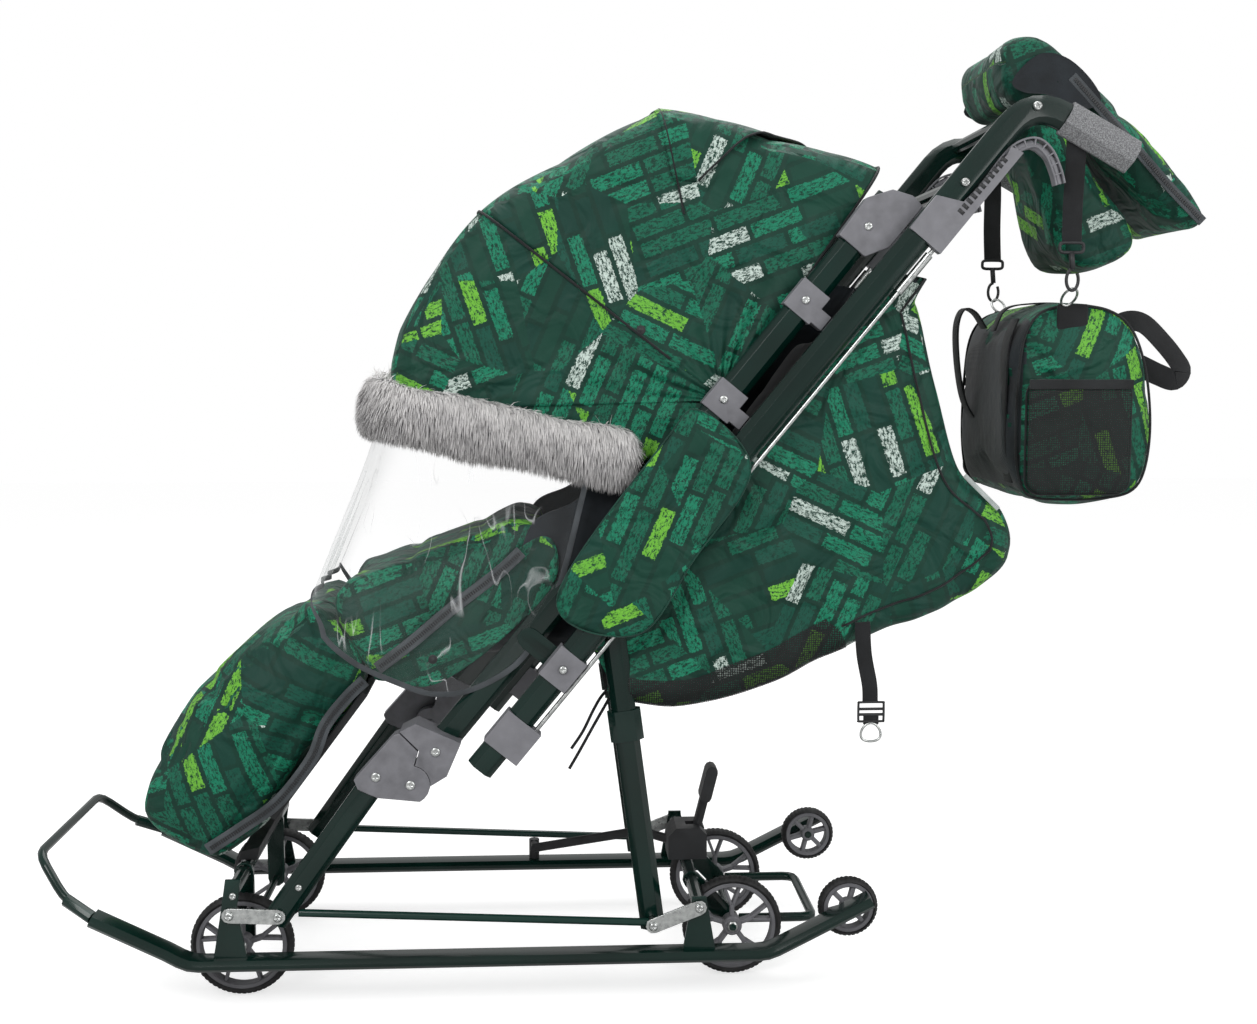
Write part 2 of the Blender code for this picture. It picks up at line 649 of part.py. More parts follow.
def make_rear_legs():
    """Both legs, their collars and the tube that joins them, welded into one frame."""
    head = Vector(rear_leg_head())
    along = unit(REAR_LEG_FOOT, head)
    foot = Vector(REAR_LEG_FOOT) - along * 0.014
    meshes = []
    for side, sign in SIDES:
        y = sign * BACK_TUBE_Y
        meshes.append(tube("leg_" + side, [at(foot, y), at(head + along * 0.03, y)], BACK_TUBE_WIDTH,
                           REAR_LEG_DEPTH))
        low = Vector(REAR_LEG_FOOT) + along * LEG_COLLAR[0]
        high = Vector(REAR_LEG_FOOT) + along * LEG_COLLAR[1]
        meshes.append(sweep("collar_" + side, [at(low, y), at(high, y)],
                            oval(BACK_TUBE_WIDTH + 0.0036, REAR_LEG_DEPTH + 0.012),
                            oval(BACK_TUBE_WIDTH - WALL, REAR_LEG_DEPTH - WALL)))
    place = Vector(REAR_LEG_FOOT) + along * LEG_CROSS
    reach = BACK_TUBE_Y - BACK_TUBE_WIDTH / 2 + WALL / 2
    meshes.append(cross_mesh("leg_cross", place, reach, 0.008))
    left, *rest = meshes
    frame = keep("rear_leg_frame", left, "paint", origin=at(REAR_LEG_FOOT, 0))
    add(frame, *rest)
    cut(frame, back_block("head_cut", 0.25, 0.50, -0.05, SKIN + GAP, -0.3, 0.3),
        rod("foot_bore", at(REAR_LEG_FOOT, -0.25), at(REAR_LEG_FOOT, 0.25), PIN_RADIUS + GAP, 14))


# Back frame: tubes, fold hinge, clamps, pivot plates and cross tubes

def back_ends(y):
    return [at(on_back(BACK_TUBE_START, 0), y), at(on_back(BACK_TUBE_END, 0), y)]


def make_back_frame():
    """Two long tubes with a cross tube under the seat and one behind the hood."""
    frame = keep("back_frame", tube("back_left", back_ends(-BACK_TUBE_Y), BACK_TUBE_WIDTH, BACK_TUBE_DEPTH),
                 "paint", origin=at(HINGE, 0))
    reach = BACK_TUBE_Y - BACK_TUBE_WIDTH / 2 + WALL / 2
    add(frame, tube("back_right", back_ends(BACK_TUBE_Y), BACK_TUBE_WIDTH, BACK_TUBE_DEPTH),
        cross_mesh("seat_cross", on_back(LOW_CROSS, 0), reach),
        cross_mesh("top_cross", on_back(HIGH_CROSS, 0), reach))


def make_back_fittings(side, sign):
    y = sign * BACK_TUBE_Y
    ends = back_ends(y)
    inner = BACK_TUBE_Y - BACK_TUBE_WIDTH / 2
    outer = BACK_TUBE_Y + BACK_TUBE_WIDTH / 2
    grow = 2 * GAP
    channel = oval(BACK_TUBE_WIDTH + grow, BACK_TUBE_DEPTH + grow)

    low_y, high_y = span(sign, inner - 4 * GAP, LEG_Y + LEG_WIDTH / 2 + 4 * GAP)
    ring = arc(HINGE, HINGE_RING + 2 * GAP, -4, 76, 6)
    outline = ring + [(-0.2770, 0.3470), (-0.3020, 0.3725), (-0.281, 0.383), (-0.222, 0.356),
                      (-0.241, 0.312)]
    upper = keep(f"hinge_upper_{side}", prism("upper", outline, low_y, high_y), "grey",
                 origin=at(HINGE, y))
    lug_y = span(sign, inner - 4 * GAP, LEG_Y - LEG_WIDTH / 2 - 5 * GAP)
    lug = arc(HINGE, HINGE_LUG, 0, 337.5, 15)
    bridge = [on_back(0.0, -0.012), on_back(0.045, -0.012), on_back(0.045, 0.018), on_back(0.0, 0.012)]
    add(upper, prism("lug", lug, *lug_y), prism("bridge", bridge, *lug_y))
    cut(upper, sweep("socket", [at(on_back(BACK_TUBE_START - GAP, 0), y), ends[1]], channel),
        rod("bore", at(HINGE, sign * 0.14), at(HINGE, sign * 0.21), PIN_RADIUS + GAP, 14))

    face_y = span(sign, inner + GAP, outer + CLAMP_WALL)
    for label, along in (("canopy_clamp", CANOPY_CLAMP), ("hook_clamp", HOOK_CLAMP)):
        low = along - CLAMP_LENGTH / 2
        high = along + CLAMP_LENGTH / 2
        clamp = keep(f"{label}_{side}", back_block(label, low, high, -SKIN - 0.0035, SKIN + 0.0035,
                                                   *face_y), "grey", origin=at(HINGE, y))
        tail = back_block("tail", low + 0.004, low + 0.026, SKIN, HANDLE_OFFSET - SKIN - GAP, *face_y)
        add(clamp, tail)
        cut(clamp, sweep("channel", [at(on_back(low - 0.01, 0), y), at(on_back(high + 0.01, 0), y)],
                         channel))
    low = TOP_CLAMP_START
    outline = [(low, -0.023), (low + 0.060, -0.0255), (low + 0.090, -0.006), (low + 0.101, 0.020),
               (low + 0.099, HANDLE_OFFSET - SKIN - GAP), (low + 0.030, HANDLE_OFFSET - SKIN - GAP),
               (low, 0.022)]
    cap = keep(f"top_clamp_{side}", prism("top", [on_back(*p) for p in outline], *face_y), "grey",
               origin=at(HINGE, y))
    cut(cap, sweep("channel", [at(on_back(low - 0.01, 0), y), at(on_back(BACK_TUBE_END + GAP, 0), y)],
                   channel))

    plate_y = span(sign, outer + GAP, HANDLE_Y - HANDLE_WIDTH / 2 - GAP)
    plate = keep(f"pivot_plate_{side}", strip(on_back(HANDLE_PIVOT, 0), on_back(HANDLE_PIVOT, HANDLE_OFFSET),
                                              0.015, *plate_y), "zinc", origin=at(HINGE, y))
    middle = (plate_y[0] + plate_y[1]) / 2
    tip = sign * (HANDLE_Y + HANDLE_WIDTH / 2 + 0.003)
    pivot = on_back(HANDLE_PIVOT, HANDLE_OFFSET)
    add(plate, rod("pin", at(pivot, middle), at(pivot, tip), PIN_RADIUS, 12))


# Handle: tubes, grips, clamps, release levers and rods

def handle_path(y, stop_short):
    grip = unit(HANDLE_KNEE, GRIP_END)
    end = Vector(GRIP_END) - grip * stop_short
    points = [on_back(HANDLE_START, HANDLE_OFFSET), HANDLE_KNEE, end]
    return rounded([at(p, y) for p in points], HANDLE_BEND, 6)


def make_handle_frame():
    """Two long tubes, bent at the top for the grips, with two round tubes across."""
    pivot = on_back(HANDLE_PIVOT, HANDLE_OFFSET)
    frame = keep("handle_frame", tube("handle_left", handle_path(-HANDLE_Y, 0.004), HANDLE_WIDTH,
                                      BACK_TUBE_DEPTH), "paint", origin=at(pivot, 0))
    reach = HANDLE_Y - HANDLE_WIDTH / 2 + WALL / 2
    add(frame, tube("handle_right", handle_path(HANDLE_Y, 0.004), HANDLE_WIDTH, BACK_TUBE_DEPTH),
        cross_mesh("low_cross", on_back(BRACE_TUBE, HANDLE_OFFSET), reach),
        cross_mesh("top_bar", MUFF_BAR, reach))
    cut(frame, rod("bore", at(pivot, -0.25), at(pivot, 0.25), PIN_RADIUS + GAP, 14))


def make_handle_fittings(side, sign):
    y = sign * HANDLE_Y
    pivot = on_back(HANDLE_PIVOT, HANDLE_OFFSET)
    origin = at(pivot, y)
    bore = rod("bore", at(pivot, sign * 0.17), at(pivot, sign * 0.23), PIN_RADIUS + GAP, 14)
    grow = 2 * GAP
    channel = oval(HANDLE_WIDTH + grow, BACK_TUBE_DEPTH + grow)
    inner = HANDLE_Y - HANDLE_WIDTH / 2
    outer = HANDLE_Y + HANDLE_WIDTH / 2

    last = Vector(GRIP_END)
    grip_dir = unit(HANDLE_KNEE, last)
    first = last - grip_dir * GRIP_LENGTH
    grip = keep(f"grip_{side}", sweep("grip", [at(first, y), at(last, y)],
                                      oval(HANDLE_WIDTH + 2 * GRIP_WALL, BACK_TUBE_DEPTH + 2 * GRIP_WALL, 0.42)),
                "foam", origin=origin)
    cut(grip, sweep("inside", [at(first - grip_dir * GRIP_WALL, y),
                               at(last - grip_dir * (0.004 - GAP), y)], channel))

    face_y = span(sign, inner + GAP, outer + CLAMP_WALL)
    whole = [at(on_back(0.0, HANDLE_OFFSET), y), at(on_back(1.10, HANDLE_OFFSET), y)]
    low = HANDLE_PIVOT - PIVOT_CLAMP_LENGTH / 2
    high = HANDLE_PIVOT + PIVOT_CLAMP_LENGTH / 2
    skin_low = HANDLE_OFFSET - SKIN - 0.003
    skin_high = HANDLE_OFFSET + SKIN + 0.003
    clamp = keep(f"pivot_clamp_{side}", back_block("pivot", low, high, skin_low, skin_high, *face_y),
                 "grey", origin=origin)
    cut(clamp, sweep("channel", whole, channel), bore)

    low = SLIDER_START
    high = low + SLIDER_LENGTH
    tip = ROD_OFFSET + 0.008
    latch = keep(f"latch_bar_{side}", back_block("slider", low, high, skin_low, tip, *face_y), "grey",
                 origin=origin)
    cut(latch, sweep("channel", whole, channel))

    steps_from = high - 0.006
    low = LEVER_START
    outline = [(low, HANDLE_OFFSET - SKIN + 2 * GAP), (low + LEVER_SADDLE, HANDLE_OFFSET - SKIN + 2 * GAP),
               (low + LEVER_SADDLE + 0.016, HANDLE_OFFSET + SKIN - 0.004),
               (low + LEVER_SADDLE + 0.06, HANDLE_OFFSET + SKIN + 2 * GAP),
               (1.128, HANDLE_OFFSET + SKIN + 2 * GAP), (1.139, 0.074), (1.143, 0.092),
               (1.080, HANDLE_OFFSET + SKIN + 0.016), (low, HANDLE_OFFSET + SKIN + 0.016)]
    outline = [on_back(*p) for p in outline]
    lever_y = span(sign, HANDLE_Y - 0.002, outer + CLAMP_WALL)
    lever = keep(f"release_lever_{side}", prism("lever", outline, *lever_y), "grey", origin=origin)
    half = 0.0055
    hook = rounded([at((0.494, 1.125), y), at((0.522, 1.140), y), at((0.550, 1.118), y),
                    at((0.560, 1.086), y)], 0.012, 2)
    add(lever, sweep("hook", hook, oval(0.014, 2 * half)))
    tube_path = [at(on_back(0.9, HANDLE_OFFSET), y), at(on_back(HANDLE_BEND_START, HANDLE_OFFSET), y)]
    cut(lever, sweep("channel", tube_path, channel))

    steps = [(steps_from, ROD_RADIUS), (ROD_SLEEVE[0], ROD_RADIUS),
             (ROD_SLEEVE[0] + 0.001, ROD_SLEEVE_RADIUS), (ROD_SLEEVE[1], ROD_SLEEVE_RADIUS),
             (ROD_SLEEVE[1] + 0.001, ROD_RADIUS), (LEVER_START - GAP, ROD_RADIUS)]
    bm = bmesh.new()
    rings = []
    for along, radius in steps:
        centre = at(on_back(along, ROD_OFFSET), y)
        ring = []
        for u, v in circle(radius, 8):
            out = at(tuple(BACK_OUT), 0) * v
            ring.append(bm.verts.new(centre + Vector((0, u, 0)) + out))
        rings.append(ring)
    for here, there in zip(rings, rings[1:]):
        for k in range(8):
            n = (k + 1) % 8
            bm.faces.new((here[k], here[n], there[n], there[k]))
    bm.faces.new(rings[0])
    bm.faces.new(rings[-1])
    add(latch, to_mesh("rod", bm))


# Soft goods: seat, backrest, footrest, foot cover

def pad(name, outline, half, finish, origin, crown=0.006, bevel=0.008):
    """A cushion: an outline carried across, drawn in at both sides and crowned in the middle."""
    centre = Vector((sum(p[0] for p in outline), sum(p[1] for p in outline))) / len(outline)
    stations = ((-half, 0.90), (-half + bevel, 1.0 - crown), (0.0, 1.0), (half - bevel, 1.0 - crown),
                (half, 0.90))
    bm = bmesh.new()
    rings = []
    for y, scale in stations:
        inset = 0.0 if scale > 0.95 else bevel * 0.6
        ring = []
        for p in outline:
            offset = Vector(p) - centre
            shrink = max(0.0, 1 - inset / max(offset.length, 1e-6)) if inset else scale
            ring.append(bm.verts.new(at(centre + offset * shrink, y)))
        rings.append(ring)
    count = len(outline)
    for here, there in zip(rings, rings[1:]):
        for k in range(count):
            n = (k + 1) % count
            bm.faces.new((here[k], here[n], there[n], there[k]))
    bm.faces.new(rings[0])
    bm.faces.new(rings[-1])
    return keep(name, to_mesh(name, bm), finish, origin=origin)


def make_seat():
    base = on_back(LOW_CROSS, 0)[1] + CROSS_RADIUS + GAP
    top = base + SEAT_THICK
    middle = (SEAT_FRONT_X + SEAT_REAR_X) / 2
    outline = [(SEAT_FRONT_X + 0.006, base), (SEAT_REAR_X, base), (SEAT_REAR_X + 0.004, top - 0.014),
               (SEAT_REAR_X - 0.012, top - 0.004), (middle, top), (SEAT_FRONT_X + 0.012, top - 0.003),
               (SEAT_FRONT_X, top - 0.018)]
    seat = pad("seat_cushion", outline, SEAT_HALF, "lining", at(HINGE, 0), crown=0.0)
    along = unit(BACKREST_PIVOT, BACKREST_TOP)
    out = Vector((along.y, -along.x))
    low = Vector(BACKREST_PIVOT)
    high = Vector(BACKREST_TOP)
    face = BACKREST_THICK / 2
    outline = [low - out * face, (low + high) / 2 - out * (face + 0.004), high - out * face,
               high + along * 0.014, high + out * face, low + out * face, low - along * 0.012]
    pad("backrest", [tuple(p) for p in outline], BACKREST_HALF, "lining", at(BACKREST_PIVOT, 0))
    ledge = (BACKREST_PIVOT[0] + 0.005, BACKREST_PIVOT[1] - 0.010 - GAP)
    bridge = [(SEAT_REAR_X - 0.006, base + 0.004), (ledge[0] + 0.007, base + 0.004),
              (ledge[0] + 0.007, ledge[1]), ledge, (ledge[0] - 0.005, ledge[1] - 0.012),
              (SEAT_REAR_X - 0.006, ledge[1] - 0.020)]
    add(seat, prism("seat_back_edge", bridge, -0.10, 0.10))



FOOT_COVER_LOWER = [(-0.345, 0.432), (-0.404, 0.536), (-0.446, 0.510), (-0.500, 0.480), (-0.540, 0.450),
                    (-0.590, 0.396), (-0.634, 0.325), (-0.660, 0.262), (-0.650, 0.235), (-0.616, 0.208),
                    (-0.584, 0.188), (-0.552, 0.180), (-0.515, 0.208), (-0.486, 0.243)]
FOOT_COVER_UPPER = [(-0.3446, 0.4322), (-0.4036, 0.5362), (-0.345, 0.568), (-0.280, 0.592), (-0.200, 0.622),
                    (-0.135, 0.650), (-0.105, 0.640), (-0.108, 0.612), (-0.150, 0.560), (-0.190, 0.5132),
                    (-0.246, 0.5119), (-0.262, 0.510), (-0.276, 0.480), (-0.290, 0.455)]


def make_footrest():
    """A board that lies against the underside of the foot cover and turns at its upper end."""
    knee = Vector(FOOT_COVER_LOWER[0])
    toe = Vector(FOOT_COVER_LOWER[-1])
    down = unit(knee, toe)
    under = Vector((-down.y, down.x))
    top = knee + under * GAP + down * BOARD_SETBACK
    end = toe + under * GAP
    board = [top, end, end + under * BOARD_THICK, top + under * BOARD_THICK]
    keep("footrest_board", prism("board", board, -BOARD_HALF, BOARD_HALF), "black",
         origin=at(FOOTREST_PIVOT, 0))


def make_foot_cover():
    pad("foot_cover", FOOT_COVER_LOWER, MUFF_HALF, "cloth", at(FOOTREST_PIVOT, 0), bevel=0.016)
    pad("lap_cover", FOOT_COVER_UPPER, MUFF_HALF, "cloth", at(HINGE, 0), bevel=0.016)


# Canopy: a radius for each angle round the canopy clamp, and an arch across

CANOPY_RADII = ((50.0, 0.384), (78.0, 0.357), (102.0, 0.391), (124.0, 0.384), (142.0, 0.401),
                (168.0, 0.437), (183.0, 0.441))


def canopy_radius(angle):
    angles = [a for a, r in CANOPY_RADII]
    radii = [r for a, r in CANOPY_RADII]
    return float(np.interp(angle, angles, radii))


def canopy_arch(angle, half, radius, corner, inner, steps=3):
    """The arch in one plane through the canopy pivot, from the left pivot over to the right one."""
    centre = Vector(on_back(CANOPY_CLAMP, 0))
    turn = math.radians(angle)
    way = Vector((math.cos(turn), math.sin(turn)))
    path = [(inner, -half), (inner + (radius - corner - inner) / 2, -half)]
    for i in range(steps + 1):
        t = math.pi / 2 * i / steps
        path.append((radius - corner + corner * math.sin(t), -half + corner - corner * math.cos(t)))
    path = path + [(radius, 0.0)] + [(r, -y) for r, y in reversed(path)]
    return [at(centre + way * r, y) for r, y in path]


def canopy_shell(name, first, last, inset, steps):
    """A hood panel between two angles; inset moves its face inwards all round."""
    rows = []
    for i in range(steps + 1):
        angle = first + (last - first) * i / steps
        rows.append(canopy_arch(angle, CANOPY_HALF - inset, canopy_radius(angle) - inset, CANOPY_CORNER,
                                CANOPY_INNER))
    origin = at(on_back(CANOPY_CLAMP, 0), 0)
    return keep(name, sheet_body(name, rows, CANOPY_WALL), "cloth", origin=origin)


def make_canopy():
    """The front panel folds outside the rear one, which holds the bow of thin rod."""
    canopy_shell("canopy_front", CANOPY_RIB_ANGLE, CANOPY_EDGE_ANGLE, 0.0, 4)
    inset = CANOPY_WALL + GAP
    rear = canopy_shell("canopy_rear", CANOPY_BACK_ANGLE, CANOPY_RIB_ANGLE - CANOPY_SEAM, inset, 8)
    sink = inset + CANOPY_WALL + HOOP_RADIUS * 0.7
    path = canopy_arch(CANOPY_BOW_ANGLE, CANOPY_HALF - sink, canopy_radius(CANOPY_BOW_ANGLE) - sink,
                       CANOPY_CORNER, CANOPY_INNER)
    turn = math.radians(CANOPY_BOW_ANGLE)
    way = Vector((math.sin(turn), 0, -math.cos(turn)))
    add(rear, sweep("hoop", path, circle(HOOP_RADIUS, 6), across=way))


def make_fur():
    """A thick oval roll round the outside of the hood's front edge."""
    rear = Vector(FUR_REAR)
    front = Vector(FUR_FRONT)
    half = CANOPY_HALF + GAP + FUR_THICK / 2
    route = [at(rear, -half), at(front, -half), at(front, half), at(rear, half)]
    path = rounded(route, 0.085, 4)
    direction = (front - rear).normalized()
    upward = Vector((direction.y, 0, -direction.x))
    section = [(u * FUR_HEIGHT / 2, v * FUR_THICK / 2) for u, v in circle(1.0, 10)]
    keep("fur_trim", sweep("fur", path, section, across=upward), "fur",
         origin=at(on_back(CANOPY_CLAMP, 0), 0))


def make_shield():
    """A clear sheet that hangs from under the fur, round the front of the foot cover."""
    run = unit(FUR_REAR, FUR_FRONT)
    drop = Vector((-run.y, run.x)) * (FUR_HEIGHT / 2 + GAP)
    top = [Vector(FUR_REAR) + run * share + drop for share in (0.110, 0.210, 0.300, 0.342)]
    hem = [(-0.107, 0.5655), (-0.174, 0.4535), (-0.300, 0.428), (-0.424, 0.552)]
    turn = 0.060
    rows = []
    for share in (0.0, 0.5, 1.0):
        edge = [Vector(a).lerp(Vector(b), share) for a, b in zip(top, hem)]
        side = [at(p, -SHIELD_HALF) for p in edge[:3]]
        nose = edge[3]
        corner = at(nose, -SHIELD_HALF)
        back = side[-1]
        entry = corner + (back - corner).normalized() * turn
        leave = corner + Vector((0, turn, 0))
        bend = [entry.lerp(corner, t).lerp(corner.lerp(leave, t), t) for t in (0.0, 0.5, 1.0)]
        left = side + bend
        rows.append(left + [Vector((p.x, -p.y, p.z)) for p in reversed(left)])
    keep("rain_shield", sheet_body("shield", rows, SHEET), "clear", origin=at(on_back(CANOPY_CLAMP, 0), 0))


APRON_OUTLINE = [(0.364, 0.936), (0.385, 0.930), (0.412, 0.820), (0.446, 0.712), (0.503, 0.661), (0.522, 0.607),
                 (0.507, 0.574), (0.441, 0.528), (0.320, 0.482), (0.227, 0.437), (0.147, 0.405),
                 (0.067, 0.392), (-0.030, 0.404)]


def inset_outline(points, distance):
    """Move an open outline inwards, square to its own run."""
    points = [Vector(p) for p in points]
    moved = []
    for i, point in enumerate(points):
        before = points[max(i - 1, 0)]
        after = points[min(i + 1, len(points) - 1)]
        run = (after - before).normalized()
        moved.append(point + Vector((run.y, -run.x)) * distance)
    return [tuple(p) for p in moved]


def make_apron():
    front = [on_back(0.300, 0.050), on_back(0.905, 0.050)]
    body = keep("rear_apron", prism("apron", APRON_OUTLINE + front, -APRON_HALF, APRON_HALF), "cloth",
                origin=at(HINGE, 0))
    hollow_front = [on_back(0.290, -0.02), on_back(0.935, -0.02)]
    inner = inset_outline(APRON_OUTLINE, 0.003)
    inner[0] = (0.345, 0.960)
    inner[-1] = (-0.075, 0.412)
    half = APRON_HALF - APRON_SIDE
    cut(body, prism("hollow", inner + hollow_front, -half, half))
    for sign in (-1, 1):
        low_y, high_y = span(sign, BACK_TUBE_Y - 0.016, half)
        slot = [(-0.045, 0.360), (0.050, 0.360), (0.050, 0.420), (-0.045, 0.420)]
        cut(body, prism(f"slot_{sign}", slot, low_y, high_y))


def make_rear_strap():
    x = REAR_STRAP_X
    low_y = -(APRON_HALF + GAP + 0.002)
    high_y = -(APRON_HALF + GAP)
    outline = [(x - 0.012, 0.508), (x + 0.010, 0.508), (x + 0.021, 0.397), (x + 0.001, 0.397)]
    strap = keep("rear_strap", prism("webbing", outline, low_y, high_y), "lining", origin=at(HINGE, 0))
    centre = (x + 0.012, 0.376)
    frame = [(centre[0] - 0.019, 0.402), (centre[0] + 0.019, 0.402), (centre[0] + 0.021, 0.362),
             (centre[0] + 0.010, 0.338), (centre[0] - 0.010, 0.338), (centre[0] - 0.021, 0.362)]
    add(strap, prism("buckle", frame, low_y - 0.003, high_y + 0.001))
    ring = [(centre[0] - 0.013, 0.358), (centre[0] + 0.013, 0.358), (centre[0] + 0.006, 0.344),
            (centre[0] - 0.006, 0.344)]
    cut(strap, prism("ring_hole", ring, low_y - 0.02, high_y + 0.02))


# Bag and hand muff

def make_bag():
    x0 = BAG_FRONT_X
    x1 = BAG_REAR_X
    z0 = BAG_BASE_Z
    z1 = BAG_TOP_Z
    outline = [(x0 + 0.020, z0), (x1 - 0.030, z0), (x1 - 0.006, z0 + 0.022), (x1, z0 + 0.090),
               (x1 - 0.010, z1 - 0.060), (x1 - 0.040, z1 - 0.010), (x0 + 0.100, z1), (x0 + 0.030, z1 - 0.006),
               (x0 + 0.008, z1 - 0.035), (x0, z0 + 0.100), (x0 + 0.006, z0 + 0.018)]
    hang = Vector((STRAP_X, 0, STRAP_HOOK_Z))
    bag = pad("bag", outline, BAG_HALF, "cloth", hang, bevel=0.020)
    for sign in (-1, 1):
        low_y, high_y = span(sign, BAG_HALF - 0.030, HANDLE_Y - 0.018)
        top = STRAP_HOOK_Z - GAP
        tab = [(STRAP_X - 0.008, top - 0.035), (STRAP_X + 0.008, top - 0.035), (STRAP_X + 0.008, top),
               (STRAP_X - 0.008, top)]
        add(bag, prism(f"tab_{sign}", tab, low_y, high_y))


def make_bag_strap(side, sign):
    """A webbing loop round the grip, a hanging run and the snap hook at its end."""
    half = HANDLE_WIDTH / 2 + GRIP_WALL + GAP
    low = HANDLE_Y - half
    high = HANDLE_Y + half
    way = unit(HANDLE_KNEE, GRIP_END)
    middle = GRIP_END[1] - way.y * (GRIP_END[0] - STRAP_X) / way.x
    rise = (BACK_TUBE_DEPTH / 2 + GRIP_WALL) / way.x - way.y / way.x * STRAP_WIDTH / 2 + GAP
    top = middle + rise
    base = middle - rise
    t = STRAP_THICK
    ring = [(low - t, base - t), (high + t, base - t), (high + t, top + t), (low - t, top + t)]
    hole = [(low, base), (high, base), (high, top), (low, top)]
    stem = [(low - t, STRAP_HOOK_Z + 0.030), (low, STRAP_HOOK_Z + 0.030), (low, base), (low - t, base)]
    hook = [(low - t - 0.003, STRAP_HOOK_Z), (low + 0.003, STRAP_HOOK_Z),
            (low + 0.003, STRAP_HOOK_Z + 0.034), (low - t - 0.003, STRAP_HOOK_Z + 0.034)]

    def across(name, outline, width):
        bm = bmesh.new()
        face = bm.faces.new([bm.verts.new((STRAP_X - width / 2, sign * y, z)) for y, z in outline])
        grown = bmesh.ops.extrude_face_region(bm, geom=[face])["geom"]
        moved = [item for item in grown if isinstance(item, bmesh.types.BMVert)]
        bmesh.ops.translate(bm, verts=moved, vec=(width, 0, 0))
        return to_mesh(name, bm)

    strap = keep(f"bag_strap_{side}", across("loop", ring, STRAP_WIDTH), "lining",
                 origin=Vector((STRAP_X, 0, middle)))
    cut(strap, across("hole", hole, STRAP_WIDTH * 2))
    add(strap, across("stem", stem, STRAP_WIDTH), across("hook", hook, 0.018))


HAND_MUFF_OUTLINE = [(0.503, 1.268), (0.512, 1.290), (0.552, 1.296), (0.592, 1.272), (0.680, 1.196), (0.758, 1.112),
                     (0.7982, 1.056), (0.797, 1.040), (0.772, 1.031), (0.738, 1.056), (0.700, 1.010),
                     (0.694, 0.980), (0.664, 0.974), (0.606, 1.004), (0.570, 1.064), (0.546, 1.135),
                     (0.5362, 1.170), (0.5363, 1.1885), (0.528, 1.1938), (0.512, 1.222)]


def make_hand_muff():
    pivot = at(on_back(HANDLE_PIVOT, HANDLE_OFFSET), 0)
    muff = pad("hand_muff", HAND_MUFF_OUTLINE, HAND_MUFF_HALF, "cloth", pivot, crown=0.0, bevel=0.010)
    hollow = [(0.600, 1.190), (0.650, 1.150), (0.710, 1.080), (0.700, 1.052), (0.660, 1.030), (0.622, 1.050),
              (0.590, 1.110), (0.584, 1.160)]
    cut(muff, prism("hand_room", hollow, -HAND_MUFF_HALF * 1.2, HAND_MUFF_HALF * 1.2))


make_sled_frame()
make_wheels()
make_bow()
make_footrest_stop()
make_lift()
make_rear_legs()
make_back_frame()
make_handle_frame()
make_seat()
make_footrest()
make_foot_cover()
make_canopy()
make_fur()
make_shield()
make_apron()
make_rear_strap()
make_bag()
make_hand_muff()
for side_name, side_sign in SIDES:
    make_ties(side_name, side_sign)
    make_front_leg(side_name, side_sign)
    make_back_fittings(side_name, side_sign)
    make_handle_fittings(side_name, side_sign)
    make_bag_strap(side_name, side_sign)

parts = [body for body in bpy.data.objects if not body.hide_render]
print("pieces:", len(parts))
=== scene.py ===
# %% [markdown]
# # A winter pushchair on sled runners
# The object is a folding seat on steel runners with wheels that lift. Blender reads its solids as a
# fixed frame, in metres. Each step below dresses one group of pieces: the painted tubes first, then
# the plastic fittings and wheels, and last the sewn covers. Everything stays where the frame says.

# %% Load the frame
import json
import math
from functools import partial
import bmesh
import bpy
import numpy as np
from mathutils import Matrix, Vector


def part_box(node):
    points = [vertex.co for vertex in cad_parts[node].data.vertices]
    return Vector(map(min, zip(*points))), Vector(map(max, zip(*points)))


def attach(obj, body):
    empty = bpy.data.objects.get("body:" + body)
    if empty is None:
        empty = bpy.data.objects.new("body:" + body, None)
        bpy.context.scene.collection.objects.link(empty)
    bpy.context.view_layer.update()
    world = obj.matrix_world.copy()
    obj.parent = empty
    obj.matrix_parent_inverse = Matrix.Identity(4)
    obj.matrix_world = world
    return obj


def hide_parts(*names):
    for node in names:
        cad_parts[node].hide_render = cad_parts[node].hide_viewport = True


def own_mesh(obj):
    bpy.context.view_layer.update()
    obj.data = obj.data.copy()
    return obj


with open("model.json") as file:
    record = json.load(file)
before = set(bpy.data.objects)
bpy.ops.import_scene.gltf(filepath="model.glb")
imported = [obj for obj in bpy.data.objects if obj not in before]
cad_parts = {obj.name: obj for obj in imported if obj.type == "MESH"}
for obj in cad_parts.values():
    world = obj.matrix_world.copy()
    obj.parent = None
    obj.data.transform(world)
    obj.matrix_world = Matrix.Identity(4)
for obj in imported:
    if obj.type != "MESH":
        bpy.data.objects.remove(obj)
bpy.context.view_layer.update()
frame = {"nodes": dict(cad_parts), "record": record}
scene = bpy.context.scene
bodies = frame["record"]["behaviour"]["bodies"]
body_of = {node: body for body, nodes in bodies.items() for node in nodes}
SIDES = (("left", -1.0), ("right", 1.0))
print("pieces in the frame:", len(body_of))

# %% [markdown]
# ## The camera and the light
# The photograph was taken a little above the seat, square to the left side, with a short telephoto.
# A pale floor and three large soft lamps give the even light of a catalogue picture. The floor and
# the sky look white to the camera only, so no extra light falls on the cloth.

# %% Camera
camera = bpy.data.objects.new("camera", bpy.data.cameras.new("camera"))
scene.collection.objects.link(camera)
camera.location = (-0.109, -2.2175, 0.856)
camera.rotation_euler = (math.radians(84.482), 0.0, math.radians(-3.065))
camera.data.lens = 44.48
camera.data.sensor_width = 36.0
scene.camera = camera
scene.view_settings.view_transform = "Standard"


